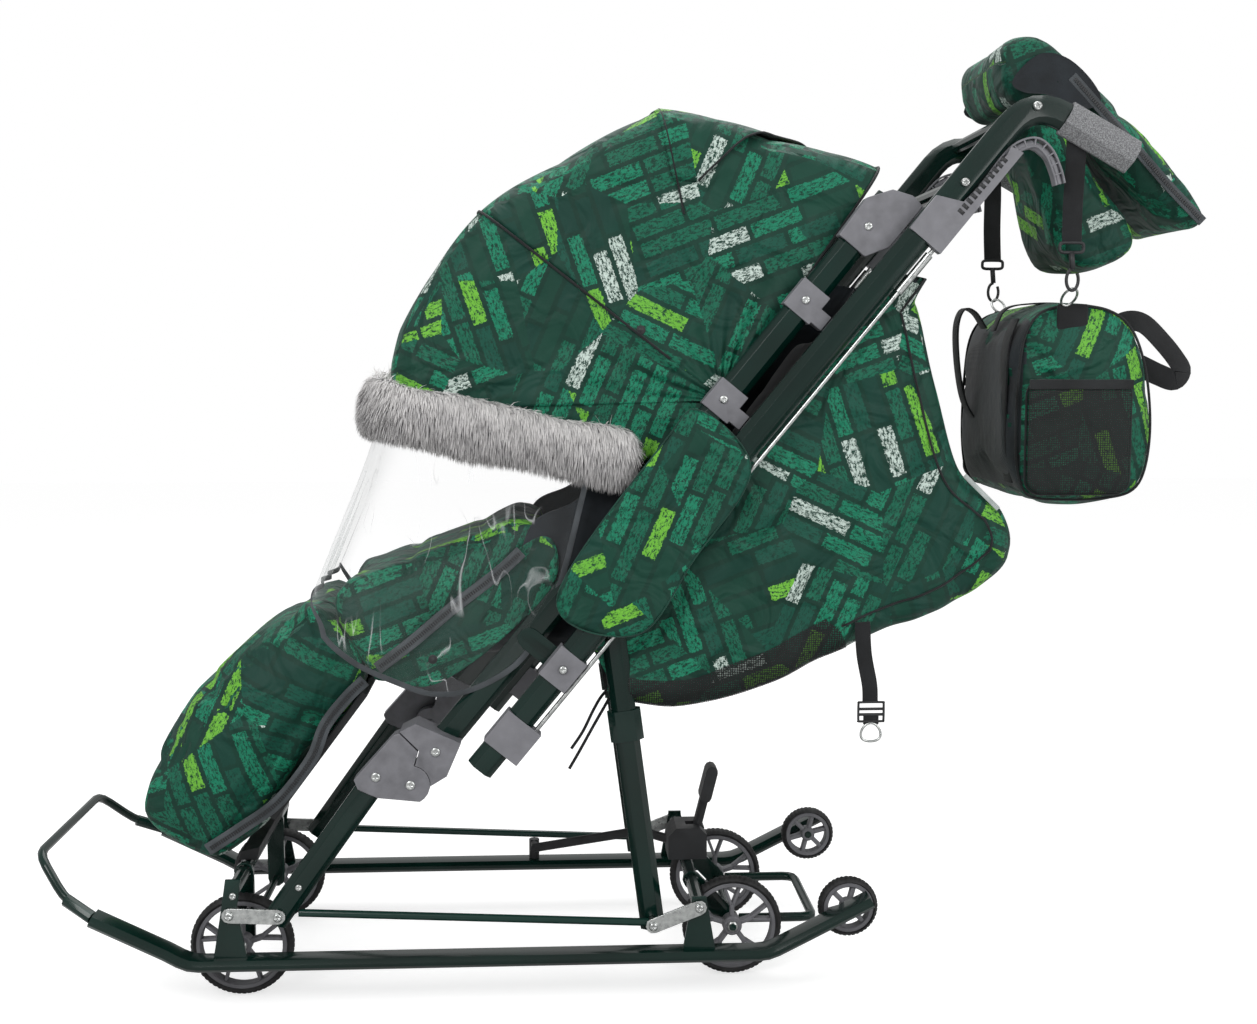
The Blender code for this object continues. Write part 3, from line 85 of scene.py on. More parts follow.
# %% Colours and nodes
def colour(code):
    """An sRGB hex colour as linear red, green, blue and 1: the sRGB curve, channel by channel."""
    values = np.array([int(code[i:i + 2], 16) / 255 for i in (1, 3, 5)])
    linear = np.where(values <= 0.04045, values / 12.92, ((values + 0.055) / 1.055) ** 2.4)
    return (*[float(v) for v in linear], 1.0)


def grey(value):
    """A linear grey as red, green, blue and 1."""
    return (value, value, value, 1.0)


def feed(node, inputs):
    """Set or link a node's inputs. Each takes a value, a socket, or a node, whose first output is
    meant."""
    for key, value in inputs.items():
        if isinstance(value, bpy.types.Node):
            value = value.outputs[0]
        if isinstance(value, bpy.types.NodeSocket):
            node.id_data.links.new(value, node.inputs[key])
        else:
            node.inputs[key].default_value = value


def add_node(tree, kind, inputs=None, stops=(), hold=False, **settings):
    """Add one shader node. Settings go on the node and inputs are fed. A colour ramp also takes stops
    of (place, hex colour or grey), and hold keeps each colour up to the next stop."""
    made = tree.nodes.new("ShaderNode" + kind)
    for key, value in settings.items():
        setattr(made, key, value)
    feed(made, inputs or {})
    if stops:
        made.color_ramp.interpolation = "CONSTANT" if hold else "LINEAR"
        while len(made.color_ramp.elements) < len(stops):
            made.color_ramp.elements.new(0.5)
        for element, (place, tint) in zip(made.color_ramp.elements, stops):
            element.position = place
            element.color = colour(tint) if isinstance(tint, str) else grey(tint)
    return made


def new_material(name, base, roughness, metallic=0.0, **sockets):
    """A material, its one Principled shader, and a function that adds nodes to it. Constants sit on
    the shader's own sockets."""
    made = bpy.data.materials.new(name)
    made.use_nodes = True
    shader = made.node_tree.nodes["Principled BSDF"]
    feed(shader, {"Base Color": colour(base), "Roughness": roughness, "Metallic": metallic})
    feed(shader, {key.replace("_", " "): value for key, value in sockets.items()})
    return made, shader, partial(add_node, made.node_tree)


# %% Floor, sky and lamps
FLOOR_CORNERS = [(-9, -6, 0), (9, -6, 0), (9, 9, 0), (-9, 9, 0)]
FLOOR_GLOW = 0.66
SKY_GREY = 0.86
SKY_STRENGTH = 0.62
floor = bpy.data.meshes.new("floor")
floor.from_pydata(FLOOR_CORNERS, [], [(0, 1, 2, 3)])
floor_object = bpy.data.objects.new("floor", floor)
scene.collection.objects.link(floor_object)
paper, shader, add = new_material("studio_paper", "#c9c9c9", 0.9)
rays = add("LightPath")
glow = add("Emission", {"Color": grey(1.0), "Strength": FLOOR_GLOW})
both = add("AddShader", {0: shader, 1: glow})
pick = add("MixShader", {"Fac": rays.outputs["Is Camera Ray"], 1: shader, 2: both})
feed(paper.node_tree.nodes["Material Output"], {"Surface": pick})
floor.materials.append(paper)

world = bpy.data.worlds.new("sky")
scene.world = world
world.use_nodes = True
add = partial(add_node, world.node_tree)
rays = add("LightPath")
seen = add("Math", {0: rays.outputs["Is Camera Ray"], 1: rays.outputs["Is Transmission Ray"]},
           operation="MAXIMUM")
back = world.node_tree.nodes["Background"]
feed(back, {"Color": grey(SKY_GREY), "Strength": SKY_STRENGTH})
white = add("Background", {"Color": grey(1.0), "Strength": 1.0})
pick = add("MixShader", {"Fac": seen, 1: back, 2: white})
feed(world.node_tree.nodes["World Output"], {"Surface": pick})


def lamp(name, place, aim, size, power):
    """A square soft lamp that faces a point."""
    data = bpy.data.lights.new(name, "AREA")
    data.size = size
    data.energy = power
    made = bpy.data.objects.new(name, data)
    scene.collection.objects.link(made)
    made.location = place
    way = np.array(aim, float) - np.array(place, float)
    made.rotation_euler = (math.acos(-way[2] / np.linalg.norm(way)), 0,
                           math.atan2(way[1], way[0]) - math.pi / 2)


lamp("key_lamp", (-1.6, -2.6, 2.6), (0.0, 0.0, 0.55), 1.8, 62)
lamp("fill_lamp", (2.2, -2.2, 1.6), (0.1, 0.0, 0.55), 1.8, 34)
lamp("top_lamp", (0.0, 1.2, 3.0), (0.0, 0.0, 0.5), 2.2, 40)

# %% [markdown]
# ## Surfaces from arrays
# Every new piece is a surface worked out as a whole array: a grid of points with two parameters, or
# a profile carried along a path. One function turns a grid into a mesh and gives it a cloth map in
# metres, so that a print keeps its real size wherever it lies.

# %% Grid to mesh
def link(name, mesh, material, body):
    """Make the object of a mesh, give it its material and let it ride on a body."""
    made = bpy.data.objects.new(name, mesh)
    scene.collection.objects.link(made)
    mesh.materials.append(material)
    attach(made, body)
    return made


def grid_faces(rows, columns, wrap_rows=False, wrap_columns=False):
    """Corner numbers of the quads between a grid's rows and columns, as one array."""
    i = np.arange(rows if wrap_rows else rows - 1)
    j = np.arange(columns if wrap_columns else columns - 1)
    i, j = np.meshgrid(i, j, indexing="ij")
    n = (i + 1) % rows
    m = (j + 1) % columns
    quads = np.stack([i * columns + j, n * columns + j, n * columns + m, i * columns + m], axis=-1)
    return quads.reshape(-1, 4)


def put_mesh(name, points, quads, smooth=True, sharp=None):
    """A mesh from an array of points and one of quads, its faces turned outwards. Edges steeper than
    sharp, in degrees, stay crisp."""
    mesh = bpy.data.meshes.new(name)
    mesh.from_pydata(points.tolist(), [], quads.tolist())
    bm = bmesh.new()
    bm.from_mesh(mesh)
    bmesh.ops.remove_doubles(bm, verts=bm.verts, dist=1e-6)
    bmesh.ops.recalc_face_normals(bm, faces=bm.faces)
    bm.to_mesh(mesh)
    bm.free()
    if smooth:
        mesh.shade_smooth()
    if sharp:
        mesh.set_sharp_from_angle(angle=math.radians(sharp))
    return mesh


def grid_mesh(name, grid, wrap_rows=False, wrap_columns=False, sharp=None):
    """A mesh from a grid of points, closed round its rows or columns where asked."""
    quads = grid_faces(*grid.shape[:2], wrap_rows, wrap_columns)
    return put_mesh(name, grid.reshape(-1, 3), quads, sharp=sharp)


def read(items, key, width=3, kind=float):
    """One property of all the items of a mesh, as an array."""
    values = np.empty(len(items) * width, dtype=kind)
    items.foreach_get(key, values)
    return values.reshape(-1, width) if width > 1 else values


SIDE_FACING = 0.62
CLOTH_SHIFT = 0.41


def cloth_map(mesh, along):
    """Lay the cloth map: a face that looks sideways takes its x and z, and one that looks up, down,
    forward or back takes the length along the profile and its y. Both are in metres."""
    points = read(mesh.vertices, "co")
    corners = read(mesh.loops, "vertex_index", 1, np.int32)
    sizes = read(mesh.polygons, "loop_total", 1, np.int32)
    side = np.repeat(np.abs(read(mesh.polygons, "normal")[:, 1]) > SIDE_FACING, sizes)
    spot = points[corners]
    flat = spot[:, (0, 2)]
    round_it = np.stack([spot[:, 1] + CLOTH_SHIFT, along(points)[corners]], axis=1)
    values = np.where(side[:, None], flat, round_it)
    layer = mesh.uv_layers.new(name="cloth")
    layer.uv.foreach_set("vector", values.astype(np.float32).ravel())


# %% Lines and profiles
def unit(vectors):
    """The same vectors at length 1, taken along the last axis."""
    return vectors / np.linalg.norm(vectors, axis=-1, keepdims=True)


def lengths(path):
    """The length run so far at each point of a path."""
    return np.concatenate([[0.0], np.cumsum(np.linalg.norm(np.diff(path, axis=0), axis=1))])


def at_lengths(path, at):
    """The points of a path at some lengths along it."""
    run = lengths(path)
    return np.stack([np.interp(at, run, path[:, k]) for k in range(path.shape[1])], axis=1)


def even(path, count):
    """The same path with evenly spaced points."""
    return at_lengths(path, np.linspace(0, lengths(path)[-1], count))


def stood(flat, y):
    """(x, z) points put at a sideways place y, as (x, y, z)."""
    return np.stack([flat[..., 0], np.broadcast_to(y, flat.shape[:-1]), flat[..., 1]], axis=-1)


def steps_of(line):
    """Unit steps along an (x, z) line, and the unit vectors square to them, on its left."""
    step = unit(np.gradient(line, axis=0))
    return step, np.stack([-step[:, 1], step[:, 0]], axis=1)


def closed_path(path):
    """A loop whose first two points are repeated at its end, so that its seam is hidden."""
    return np.concatenate([path, path[:2]])


def along_line(line):
    """A function that gives, for each point, the length along an (x, z) line at the spot nearest to
    it: the point is dropped square onto each stretch, and the closest stretch wins."""
    line = np.asarray(line, float)
    start = line[:-1]
    step = line[1:] - start
    length = np.linalg.norm(step, axis=1)
    before = lengths(line)[:-1]

    def find(points):
        flat = points[:, None, (0, 2)] - start[None]
        share = np.clip((flat * step).sum(-1) / np.maximum(length ** 2, 1e-12), 0, 1)
        gap = np.linalg.norm(flat - share[..., None] * step, axis=-1)
        best = gap.argmin(axis=1)
        rows = np.arange(len(points))
        return before[best] + share[rows, best] * length[best]
    return find


def smooth_line(points, count, closed=False):
    """A round line through points: Catmull-Rom curves, then evenly spaced by length."""
    points = np.asarray(points, float)
    if closed:
        padded = np.concatenate([points[-1:], points, points[:2]])
    else:
        padded = np.concatenate([[2 * points[0] - points[1]], points, [2 * points[-1] - points[-2]]])
    a, b, c, d = (padded[i:len(padded) - 3 + i, None] for i in range(4))
    t = np.linspace(0, 1, 24, endpoint=False)[None, :, None]
    curve = 0.5 * (2 * b + (c - a) * t + (2 * a - 5 * b + 4 * c - d) * t ** 2
                   + (3 * b - a - 3 * c + d) * t ** 3)
    curve = np.concatenate([curve.reshape(-1, points.shape[1]), points[:1] if closed else points[-1:]])
    whole = lengths(curve)[-1]
    at = np.linspace(0, whole, count + 1)[:-1] if closed else np.linspace(0, whole, count)
    return at_lengths(curve, at)


def carried(path, profile, across=(0.0, 1.0, 0.0), scale=None):
    """A closed profile carried along a path: each station is the path point plus profile x times the
    across vector, made square to the path, plus profile y times their cross product."""
    path = np.asarray(path, float)
    tangent = unit(np.gradient(path, axis=0))
    side = np.asarray(across, float) * np.ones_like(path)
    side = unit(side - tangent * (side * tangent).sum(1, keepdims=True))
    rise = np.cross(tangent, side)
    size = np.ones(len(path)) if scale is None else np.asarray(scale)
    sized = np.asarray(profile, float)[None] * size[:, None, None]
    return path[:, None] + side[:, None] * sized[..., :1] + rise[:, None] * sized[..., 1:]


def capped(grid):
    """Close both ends of a carried profile by shrinking one more ring to its centre."""
    first = np.repeat(grid[:1].mean(1, keepdims=True), grid.shape[1], axis=1)
    last = np.repeat(grid[-1:].mean(1, keepdims=True), grid.shape[1], axis=1)
    return np.concatenate([first, grid, last])


def round_profile(width, height, corner, count=6):
    """A rectangle of width by height with quarter-circle corners."""
    turns = np.linspace(0, np.pi / 2, count)
    arcs = []
    for k, (sx, sy) in enumerate(((1, 1), (-1, 1), (-1, -1), (1, -1))):
        angle = turns + k * np.pi / 2
        centre = np.array([sx * (width / 2 - corner), sy * (height / 2 - corner)])
        arcs.append(centre + corner * np.stack([np.cos(angle), np.sin(angle)], axis=1))
    return np.concatenate(arcs)


def bar_points(path, profile, across=(0.0, 1.0, 0.0)):
    """Points and quads of one capped bar."""
    grid = capped(carried(path, profile, across))
    return grid.reshape(-1, 3), grid_faces(*grid.shape[:2], wrap_columns=True)


def gathered(parts):
    """Put several (points, quads) pairs together into one pair."""
    points = np.concatenate([p for p, q in parts])
    shift = np.cumsum([0] + [len(p) for p, q in parts[:-1]])
    quads = np.concatenate([q + s for (p, q), s in zip(parts, shift)])
    return points, quads


def put_parts(name, parts, material, body, sharp=None):
    """Make one piece of several (points, quads) pairs, and let it ride on a body."""
    return link(name, put_mesh(name, *gathered(parts), sharp=sharp), material, body)


def turned(outline, centre, sides, sign=1.0, closed=False):
    """A (radius, height) outline turned round the Y axis at a centre: height runs along Y, outwards
    from the object's left or right side by sign."""
    outline = np.asarray(outline, float)
    turn = np.linspace(0, 2 * np.pi, sides, endpoint=False)
    flat = outline[None, :, :1] * np.stack([np.cos(turn), np.sin(turn)], axis=1)[:, None]
    grid = stood(flat, sign * outline[None, :, 1]) + np.asarray(centre, float)
    return grid.reshape(-1, 3), grid_faces(sides, len(outline), True, closed)


# %% [markdown]
# ## Bevels on the frame
# A cast or pressed part never has a knife edge: light runs along a small round. Each hard solid is
# copied, its loose triangles are merged, and a live Bevel modifier rounds every edge sharper than 25
# degrees. The copy replaces the solid and rides on the same body.

# %% Dressed copies of the solids
SHARP_EDGE = 50
BEVEL_FROM = 25


def stands_for(node):
    """Hide a solid whose place a new piece takes."""
    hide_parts(node)


def dressed(node, bevel, segments, material):
    """A merged copy of a solid with rounded edges and its real finish."""
    mesh = frame["nodes"][node].data.copy()
    mesh.name = node + "_finished"
    mesh.materials.clear()
    bm = bmesh.new()
    bm.from_mesh(mesh)
    bmesh.ops.remove_doubles(bm, verts=bm.verts, dist=1e-5)
    bmesh.ops.dissolve_limit(bm, angle_limit=math.radians(1.0), verts=bm.verts, edges=bm.edges)
    bm.to_mesh(mesh)
    bm.free()
    mesh.shade_smooth()
    mesh.set_sharp_from_angle(angle=math.radians(SHARP_EDGE))
    piece = link(node + "_finished", mesh, material, body_of[node])
    if bevel:
        edge = piece.modifiers.new("rounded_edges", "BEVEL")
        edge.width = bevel
        edge.segments = segments
        edge.limit_method = "ANGLE"
        edge.angle_limit = math.radians(BEVEL_FROM)
        edge.harden_normals = True
    stands_for(node)


# %% [markdown]
# ## Painted steel, zinc, grey nylon, foam
# The tubes are steel in a gloss dark green powder coat: smooth, slightly wavy like orange peel, a
# dielectric film with a clear glint. The fittings are glass-filled nylon in mid grey: matt, with a
# fine spark-eroded grain. The small plates, screws and the latch rods are zinc-plated and bright.

# %% Finishes of the frame
def powder_coat():
    """Gloss powder coat: the orange peel is a soft noise about 3 mm across; edges wear lighter."""
    made, shader, add = new_material("gloss_powder_coat", "#031c17", 0.22, Coat_Weight=0.2,
                                     Coat_Roughness=0.06, Specular_IOR_Level=0.32)
    spot = add("TexCoord").outputs["Object"]
    peel = add("TexNoise", {"Vector": spot, "Scale": 330.0, "Detail": 2.0})
    bump = add("Bump", {"Height": peel, "Strength": 0.12, "Distance": 0.0004})
    cloud = add("TexNoise", {"Vector": spot, "Scale": 9.0, "Detail": 3.0})
    tone = add("ValToRGB", {"Fac": cloud}, ((0.3, "#021813"), (0.7, "#04221c")))
    edge = add("NewGeometry").outputs["Pointiness"]
    worn = add("ValToRGB", {"Fac": edge}, ((0.52, 0.0), (0.60, 0.5)))
    tint = add("Mix", {0: worn, 6: tone, 7: colour("#123a32")}, data_type="RGBA")
    feed(shader, {"Base Color": tint.outputs[2], "Normal": bump})
    return made


def nylon(name, base, light):
    """Moulded nylon: a spark grain of about 0.5 mm, drawn 1 mm wide so that it shows, and rubbed
    edges."""
    made, shader, add = new_material(name, base, 0.5, Specular_IOR_Level=0.45)
    spot = add("TexCoord").outputs["Object"]
    grain = add("TexNoise", {"Vector": spot, "Scale": 900.0, "Detail": 3.0, "Roughness": 0.6})
    bump = add("Bump", {"Height": grain, "Strength": 0.35, "Distance": 0.0005})
    cloud = add("TexNoise", {"Vector": spot, "Scale": 60.0, "Detail": 4.0})
    tone = add("ValToRGB", {"Fac": cloud}, ((0.25, base), (0.8, light)))
    edge = add("NewGeometry").outputs["Pointiness"]
    rubbed = add("ValToRGB", {"Fac": edge}, ((0.51, 0.0), (0.58, 0.7)))
    tint = add("Mix", {0: rubbed, 6: tone, 7: colour(light)}, data_type="RGBA")
    rough = add("ValToRGB", {"Fac": cloud}, ((0.3, 0.44), (0.7, 0.58)))
    feed(shader, {"Base Color": tint.outputs[2], "Roughness": rough, "Normal": bump})
    return made


def zinc_plate():
    """Bright zinc plating: a metal whose tone clouds over a few millimetres."""
    made, shader, add = new_material("zinc_plating", "#c9cbc9", 0.28, 1.0)
    spot = add("TexCoord").outputs["Object"]
    cloud = add("TexNoise", {"Vector": spot, "Scale": 140.0, "Detail": 4.0})
    tone = add("ValToRGB", {"Fac": cloud}, ((0.3, "#a9acab"), (0.7, "#d8dad8")))
    rough = add("ValToRGB", {"Fac": cloud}, ((0.3, 0.22), (0.7, 0.4)))
    feed(shader, {"Base Color": tone, "Roughness": rough})
    return made


def foam_skin():
    """Closed-cell foam: cells about 0.9 mm wide, dark between pale walls."""
    made, shader, add = new_material("grey_foam", "#7d7e80", 0.92)
    spot = add("TexCoord").outputs["Object"]
    cells = add("TexVoronoi", {"Vector": spot, "Scale": 1100.0})
    tone = add("ValToRGB", {"Fac": cells}, ((0.1, "#8d8e90"), (0.7, "#58595b")))
    speck = add("TexNoise", {"Vector": spot, "Scale": 500.0, "Detail": 2.0})
    share = add("ValToRGB", {"Fac": speck}, ((0.45, 0.0), (0.62, 0.6)))
    tint = add("Mix", {0: share, 6: tone, 7: colour("#a3a4a6")}, data_type="RGBA")
    bump = add("Bump", {"Height": cells, "Strength": 0.6, "Distance": 0.0008})
    feed(shader, {"Base Color": tint.outputs[2], "Normal": bump})
    return made


def rubber(name, base):
    """Vulcanised rubber: matt black with a dusty bloom in patches of a centimetre."""
    made, shader, add = new_material(name, base, 0.7)
    spot = add("TexCoord").outputs["Object"]
    dust = add("TexNoise", {"Vector": spot, "Scale": 70.0, "Detail": 5.0})
    tone = add("ValToRGB", {"Fac": dust}, ((0.4, base), (0.75, "#2b2b2c")))
    grain = add("TexNoise", {"Vector": spot, "Scale": 1200.0, "Detail": 2.0})
    bump = add("Bump", {"Height": grain, "Strength": 0.3, "Distance": 0.0003})
    feed(shader, {"Base Color": tone, "Normal": bump})
    return made


COAT = powder_coat()
GREY_NYLON = nylon("grey_nylon", "#58585c", "#7b7b80")
BLACK_NYLON = nylon("black_nylon", "#101112", "#2a2b2d")
RIM_NYLON = nylon("rim_nylon", "#4a4a4d", "#6f6f73")
ZINC = zinc_plate()
FOAM = foam_skin()
TYRE = rubber("tyre_rubber", "#0c0c0d")
print("frame finishes:", len(bpy.data.materials))

# %% Tubes, brackets and castings
# Each row holds the finish, the bevel in metres, its segments and the solids.
SINGLE = ((COAT, 0.0028, 3, "sled_frame rear_leg_frame back_frame handle_frame"),
          (COAT, 0.0012, 2, "front_bow front_wheel_frame rear_wheel_frame lift_pedal"),
          (BLACK_NYLON, 0.0015, 3, "latch_box lift_lever footrest_stop"),
          (BLACK_NYLON, 0.002, 3, "footrest_board"))
PAIRED = ((COAT, 0.0, 1, "foot_rail"), (COAT, 0.0028, 3, "front_leg"),
          (ZINC, 0.0006, 2, "front_tie_plate rear_tie_plate"), (COAT, 0.0006, 2, "pivot_plate"),
          (GREY_NYLON, 0.0018, 3, "hinge_lower hinge_upper top_clamp"),
          (GREY_NYLON, 0.0008, 2, "canopy_clamp hook_clamp pivot_clamp latch_bar"),
          (GREY_NYLON, 0.0012, 2, "release_lever"), (FOAM, 0.0035, 4, "grip"))
for rows, ending in ((SINGLE, ""), (PAIRED, "_left"), (PAIRED, "_right")):
    for material, bevel, segments, nodes in rows:
        for node in nodes.split():
            dressed(node + ending, bevel, segments, material)

# %% [markdown]
# ## Screws, rods and the trussed levers
# A screw head is a shallow dome with a cross recess. One head is a profile turned round its axis,
# and arrays place it many times at once. The latch rods are drawn wire, so a round profile carried
# along a straight path is all they are. The pull levers are moulded as a ladder: two rails and short
# webs, which is stiff and light, and that is how they are drawn.

# %% Where things are along the back tube
HINGE = np.array([-0.289, 0.301])
SLOPE = math.radians(50.5)
UP_TUBE = np.array([math.cos(SLOPE), math.sin(SLOPE)])
OFF_TUBE = np.array([UP_TUBE[1], -UP_TUBE[0]])


def on_tube(along, out):
    """The (x, z) spot at a length up the back tube from the fold rivet and a distance behind it."""
    return HINGE + UP_TUBE * along + OFF_TUBE * out


# %% Screw heads
def screws(name, spots, body, radius, height):
    """Domed heads with a dark cross recess: a turned profile, and a plus-shaped dip where the angle
    and the radius fall inside either bar of the cross."""
    sides = 32
    rings = np.array([[1.0, 0.0], [1.0, 0.35], [0.86, 0.72], [0.62, 0.93], [0.46, 1.0], [0.3, 1.0],
                      [0.16, 1.0], [0.001, 1.0]])
    turn = np.linspace(0, 2 * np.pi, sides, endpoint=False)[:, None]
    r = rings[None, :, 0] * radius
    h = np.broadcast_to(rings[None, :, 1] * height, (sides, len(rings))).copy()
    x = r * np.cos(turn)
    z = r * np.sin(turn)
    cross = (np.minimum(np.abs(x), np.abs(z)) < 0.16 * radius) & (r < 0.5 * radius)
    h[cross] -= 0.55 * height
    quads = grid_faces(sides, len(rings), wrap_rows=True)
    heads = [np.stack([x + px, y + np.sign(y) * h, z + pz], axis=-1) for px, y, pz in spots]
    return put_parts(name, [(head.reshape(-1, 3), quads) for head in heads], ZINC, body)


def both_sides(spots):
    """Repeat (x, distance, z) spots on the left and the right."""
    return [(x, sign * y, z) for x, y, z in spots for side, sign in SIDES]


def spot_on(along, out, y):
    x, z = on_tube(along, out)
    return (x, y, z)


PLATE_FACE = 0.2068
LEG_FACE = 0.2025
HINGE_FACE = 0.2037
CLAMP_FACE = 0.1819
# Each row holds the name, the body, the head's radius and height, and the spots on the right side.
SCREWS = (
    ("sled_bolts", "base", 0.0062, 0.0042,
     [(-0.529, PLATE_FACE, 0.129), (-0.465, PLATE_FACE, 0.126), (0.032, PLATE_FACE, 0.104),
      (0.094, PLATE_FACE, 0.128)]),
    ("ear_bolts", "base", 0.005, 0.003, [(-0.524, LEG_FACE, 0.1545)]),
    ("leg_studs", "base", 0.0045, 0.0025, [(-0.4375, LEG_FACE, 0.1645)]),
    ("hinge_screws", "base", 0.0064, 0.0024,
     [(-0.334, HINGE_FACE, 0.3125), (-0.289, HINGE_FACE, 0.301)]),
    ("hinge_upper_screws", "seat_frame", 0.0064, 0.0024, [(-0.2554, HINGE_FACE, 0.345)]),
    ("clamp_screws", "seat_frame", 0.0055, 0.0024,
     [spot_on(0.654, -0.002, CLAMP_FACE), spot_on(0.8225, -0.002, CLAMP_FACE),
      spot_on(0.948, 0.0, CLAMP_FACE)]),
    ("pivot_screws", "handle", 0.0055, 0.0026, [spot_on(0.2465, 0.058, 0.2105)]),
    ("handle_studs", "handle", 0.006, 0.006,
     [spot_on(1.066, 0.058, 0.2075), (0.526, 0.2075, 1.184)]))
for name, body, radius, height, spots in SCREWS:
    screws(name, both_sides(spots), body, radius, height)
print("screw groups:", len(SCREWS))

# %% Latch rods
ROD_Y = 0.195
ROD_OUT = 0.0838
ROD_STEPS = np.array([(0.1605, 0.0030), (0.9045, 0.0030), (0.9050, 0.0057), (0.9680, 0.0057),
                      (0.9685, 0.0030), (0.9756, 0.0030)])
turn12 = np.linspace(0, 2 * np.pi, 12, endpoint=False)
circle12 = np.stack([np.cos(turn12), np.sin(turn12)], axis=1)
for side, sign in SIDES:
    line = np.array([on_tube(along, ROD_OUT) for along in ROD_STEPS[:, 0]])
    grid = capped(carried(stood(line, sign * ROD_Y), circle12, scale=ROD_STEPS[:, 1]))
    link(f"latch_rod_{side}", grid_mesh(f"latch_rod_{side}", grid, False, True, 40), ZINC,
         f"release_{side}_body")
print("rods: 2")

# %% Ladder of the pull levers
LEVER_LINE = smooth_line([(0.438, 1.050), (0.466, 1.088), (0.488, 1.118), (0.506, 1.134), (0.528, 1.139),
                          (0.545, 1.126), (0.556, 1.103), (0.561, 1.086)], 60)
RAIL_OFF = 0.0056
WEB_HALF = 0.0050
LADDER_WIDTH = 0.0165
WINDOW_PITCH = 0.0086


def ladder(side, sign):
    """Two rails beside the lever's middle line, and a web across every fourth point, proud of both
    faces."""
    normal = steps_of(LEVER_LINE)[1]
    rail_shape = round_profile(LADDER_WIDTH, 0.0030, 0.0012, 3)
    web_shape = round_profile(LADDER_WIDTH - 0.001, 0.0020, 0.0008, 3)
    parts = [bar_points(stood(LEVER_LINE + normal * shift, sign * ROD_Y), rail_shape)
             for shift in (-RAIL_OFF, RAIL_OFF)]
    for k in range(3, 58, 4):
        ends = LEVER_LINE[k] + normal[k] * np.array([[-WEB_HALF], [WEB_HALF]])
        parts.append(bar_points(stood(ends, sign * ROD_Y), web_shape))
    put_parts(f"lever_ladder_{side}", parts, GREY_NYLON, f"release_{side}_body", 40)


def lever_window_shade(side, sign):
    """Painted shade in the windows along the lever's straight part: short flat black bars square to the
    tube stand for the shaded openings.
    """
    face = np.abs(np.array(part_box(f"release_lever_{side}"))[:, 1]).max()
    shape = round_profile(0.0008, 0.0052, 0.0003, 2)
    parts = []
    for along in np.arange(1.034, 1.127, WINDOW_PITCH):
        ends = np.array([on_tube(along, 0.0735), on_tube(along, 0.0825)])
        parts.append(bar_points(stood(ends, sign * face), shape))
    # painted shade: black nylon bars stand for the shade in the lever's windows
    put_parts(f"lever_window_shade_{side}", parts, BLACK_NYLON, f"release_{side}_body")


for side, sign in SIDES:
    ladder(side, sign)
    lever_window_shade(side, sign)
print("ladders: 2")

# %% [markdown]
# ## Wheels
# Each wheel is a moulded nylon rim with a thin rubber tyre. Tyre and rim are profiles turned round
# the axle. The tread blocks are a step in the radius, and the spokes are flat bars that fork, copied
# round the hub by a rotation of the whole array.

# %% Tyre
TREAD_HEIGHT = 0.0008
TREAD_SHARE = 0.66
WHEELS = {"front_wheel": (-0.523, 0.1475, 0.070), "rear_wheel": (0.149, 0.110, 0.070),
          "small_wheel": (0.302, 0.166, 0.113)}


def tyre(name, centre, radius, width, depth, blocks, body):
    """A turned half-round section whose tread rises and falls round the wheel: the radius gains
    0.8 mm where the angle lies in a block and the section point is on the tread."""
    sides = blocks * 6
    turn = np.linspace(0, 2 * np.pi, sides, endpoint=False)[:, None]
    half = width / 2
    across = np.linspace(-1, 1, 15)
    crown = radius - 0.0009 - (1 - np.sqrt(1 - 0.92 * across ** 2)) * 0.0065
    on_tread = (np.abs(across) > 0.14) & (np.abs(across) < 0.8)
    block = ((turn * blocks / (2 * np.pi)) % 1.0 < TREAD_SHARE) & on_tread[None]
    outer = crown[None] + np.where(block, TREAD_HEIGHT, 0.0)
    inner = np.full((sides, 1), radius - depth)
    r = np.concatenate([inner, outer, inner], axis=1)
    y = np.concatenate([[-half * 0.80], across * half, [half * 0.80]])
    grid = np.stack([r * np.cos(turn), np.broadcast_to(y, r.shape), r * np.sin(turn)], axis=-1)
    mesh = grid_mesh(name, grid + np.asarray(centre), True, True, 38)
    return link(name, mesh, TYRE, body)


# %% Rim and spokes
def rim(name, centre, radius, width, spokes, forked, body):
    """A turned felloe and hub, and spokes as bars from the hub outwards; a forked spoke splits in two
    at half its length."""
    half = width / 2
    felloe = [(radius - 0.0062, -half * 0.72), (radius - 0.0050, -half * 0.86),
              (radius - 0.0008, -half * 0.86), (radius + 0.0002, -half * 0.76)]
    felloe += [(r, -y) for r, y in felloe[::-1]]
    hub_r = 0.0135 if forked else 0.0105
    hub = [(0.0054, -half), (hub_r - 0.002, -half), (hub_r, -half + 0.002), (hub_r, half - 0.002),
           (hub_r - 0.002, half), (0.0054, half)]
    parts = [turned(outline, centre, 72, closed=True) for outline in (felloe, hub)]
    inner = hub_r - 0.001
    outer = radius - 0.004
    fork = inner + (outer - inner) * 0.42
    spread = 0.20
    routes = [[(inner, 0.0), (outer, 0.0)]]
    if forked:
        routes = [[(inner, 0.0), (fork, 0.0)], [(fork - 0.002, -0.05), (outer, -spread)],
                  [(fork - 0.002, 0.05), (outer, spread)]]
    for k in range(spokes):
        angle = 2 * math.pi * (k + 0.25) / spokes
        for route in routes:
            path = [(centre[0] + r * math.cos(angle + a), centre[1],
                     centre[2] + r * math.sin(angle + a)) for r, a in route]
            thick = 0.0062 if route[0][1] == 0.0 else 0.0044
            parts.append(bar_points(path, round_profile(width * 0.62, thick, 0.0014, 3)))
    return put_parts(name, parts, RIM_NYLON, body, 35)


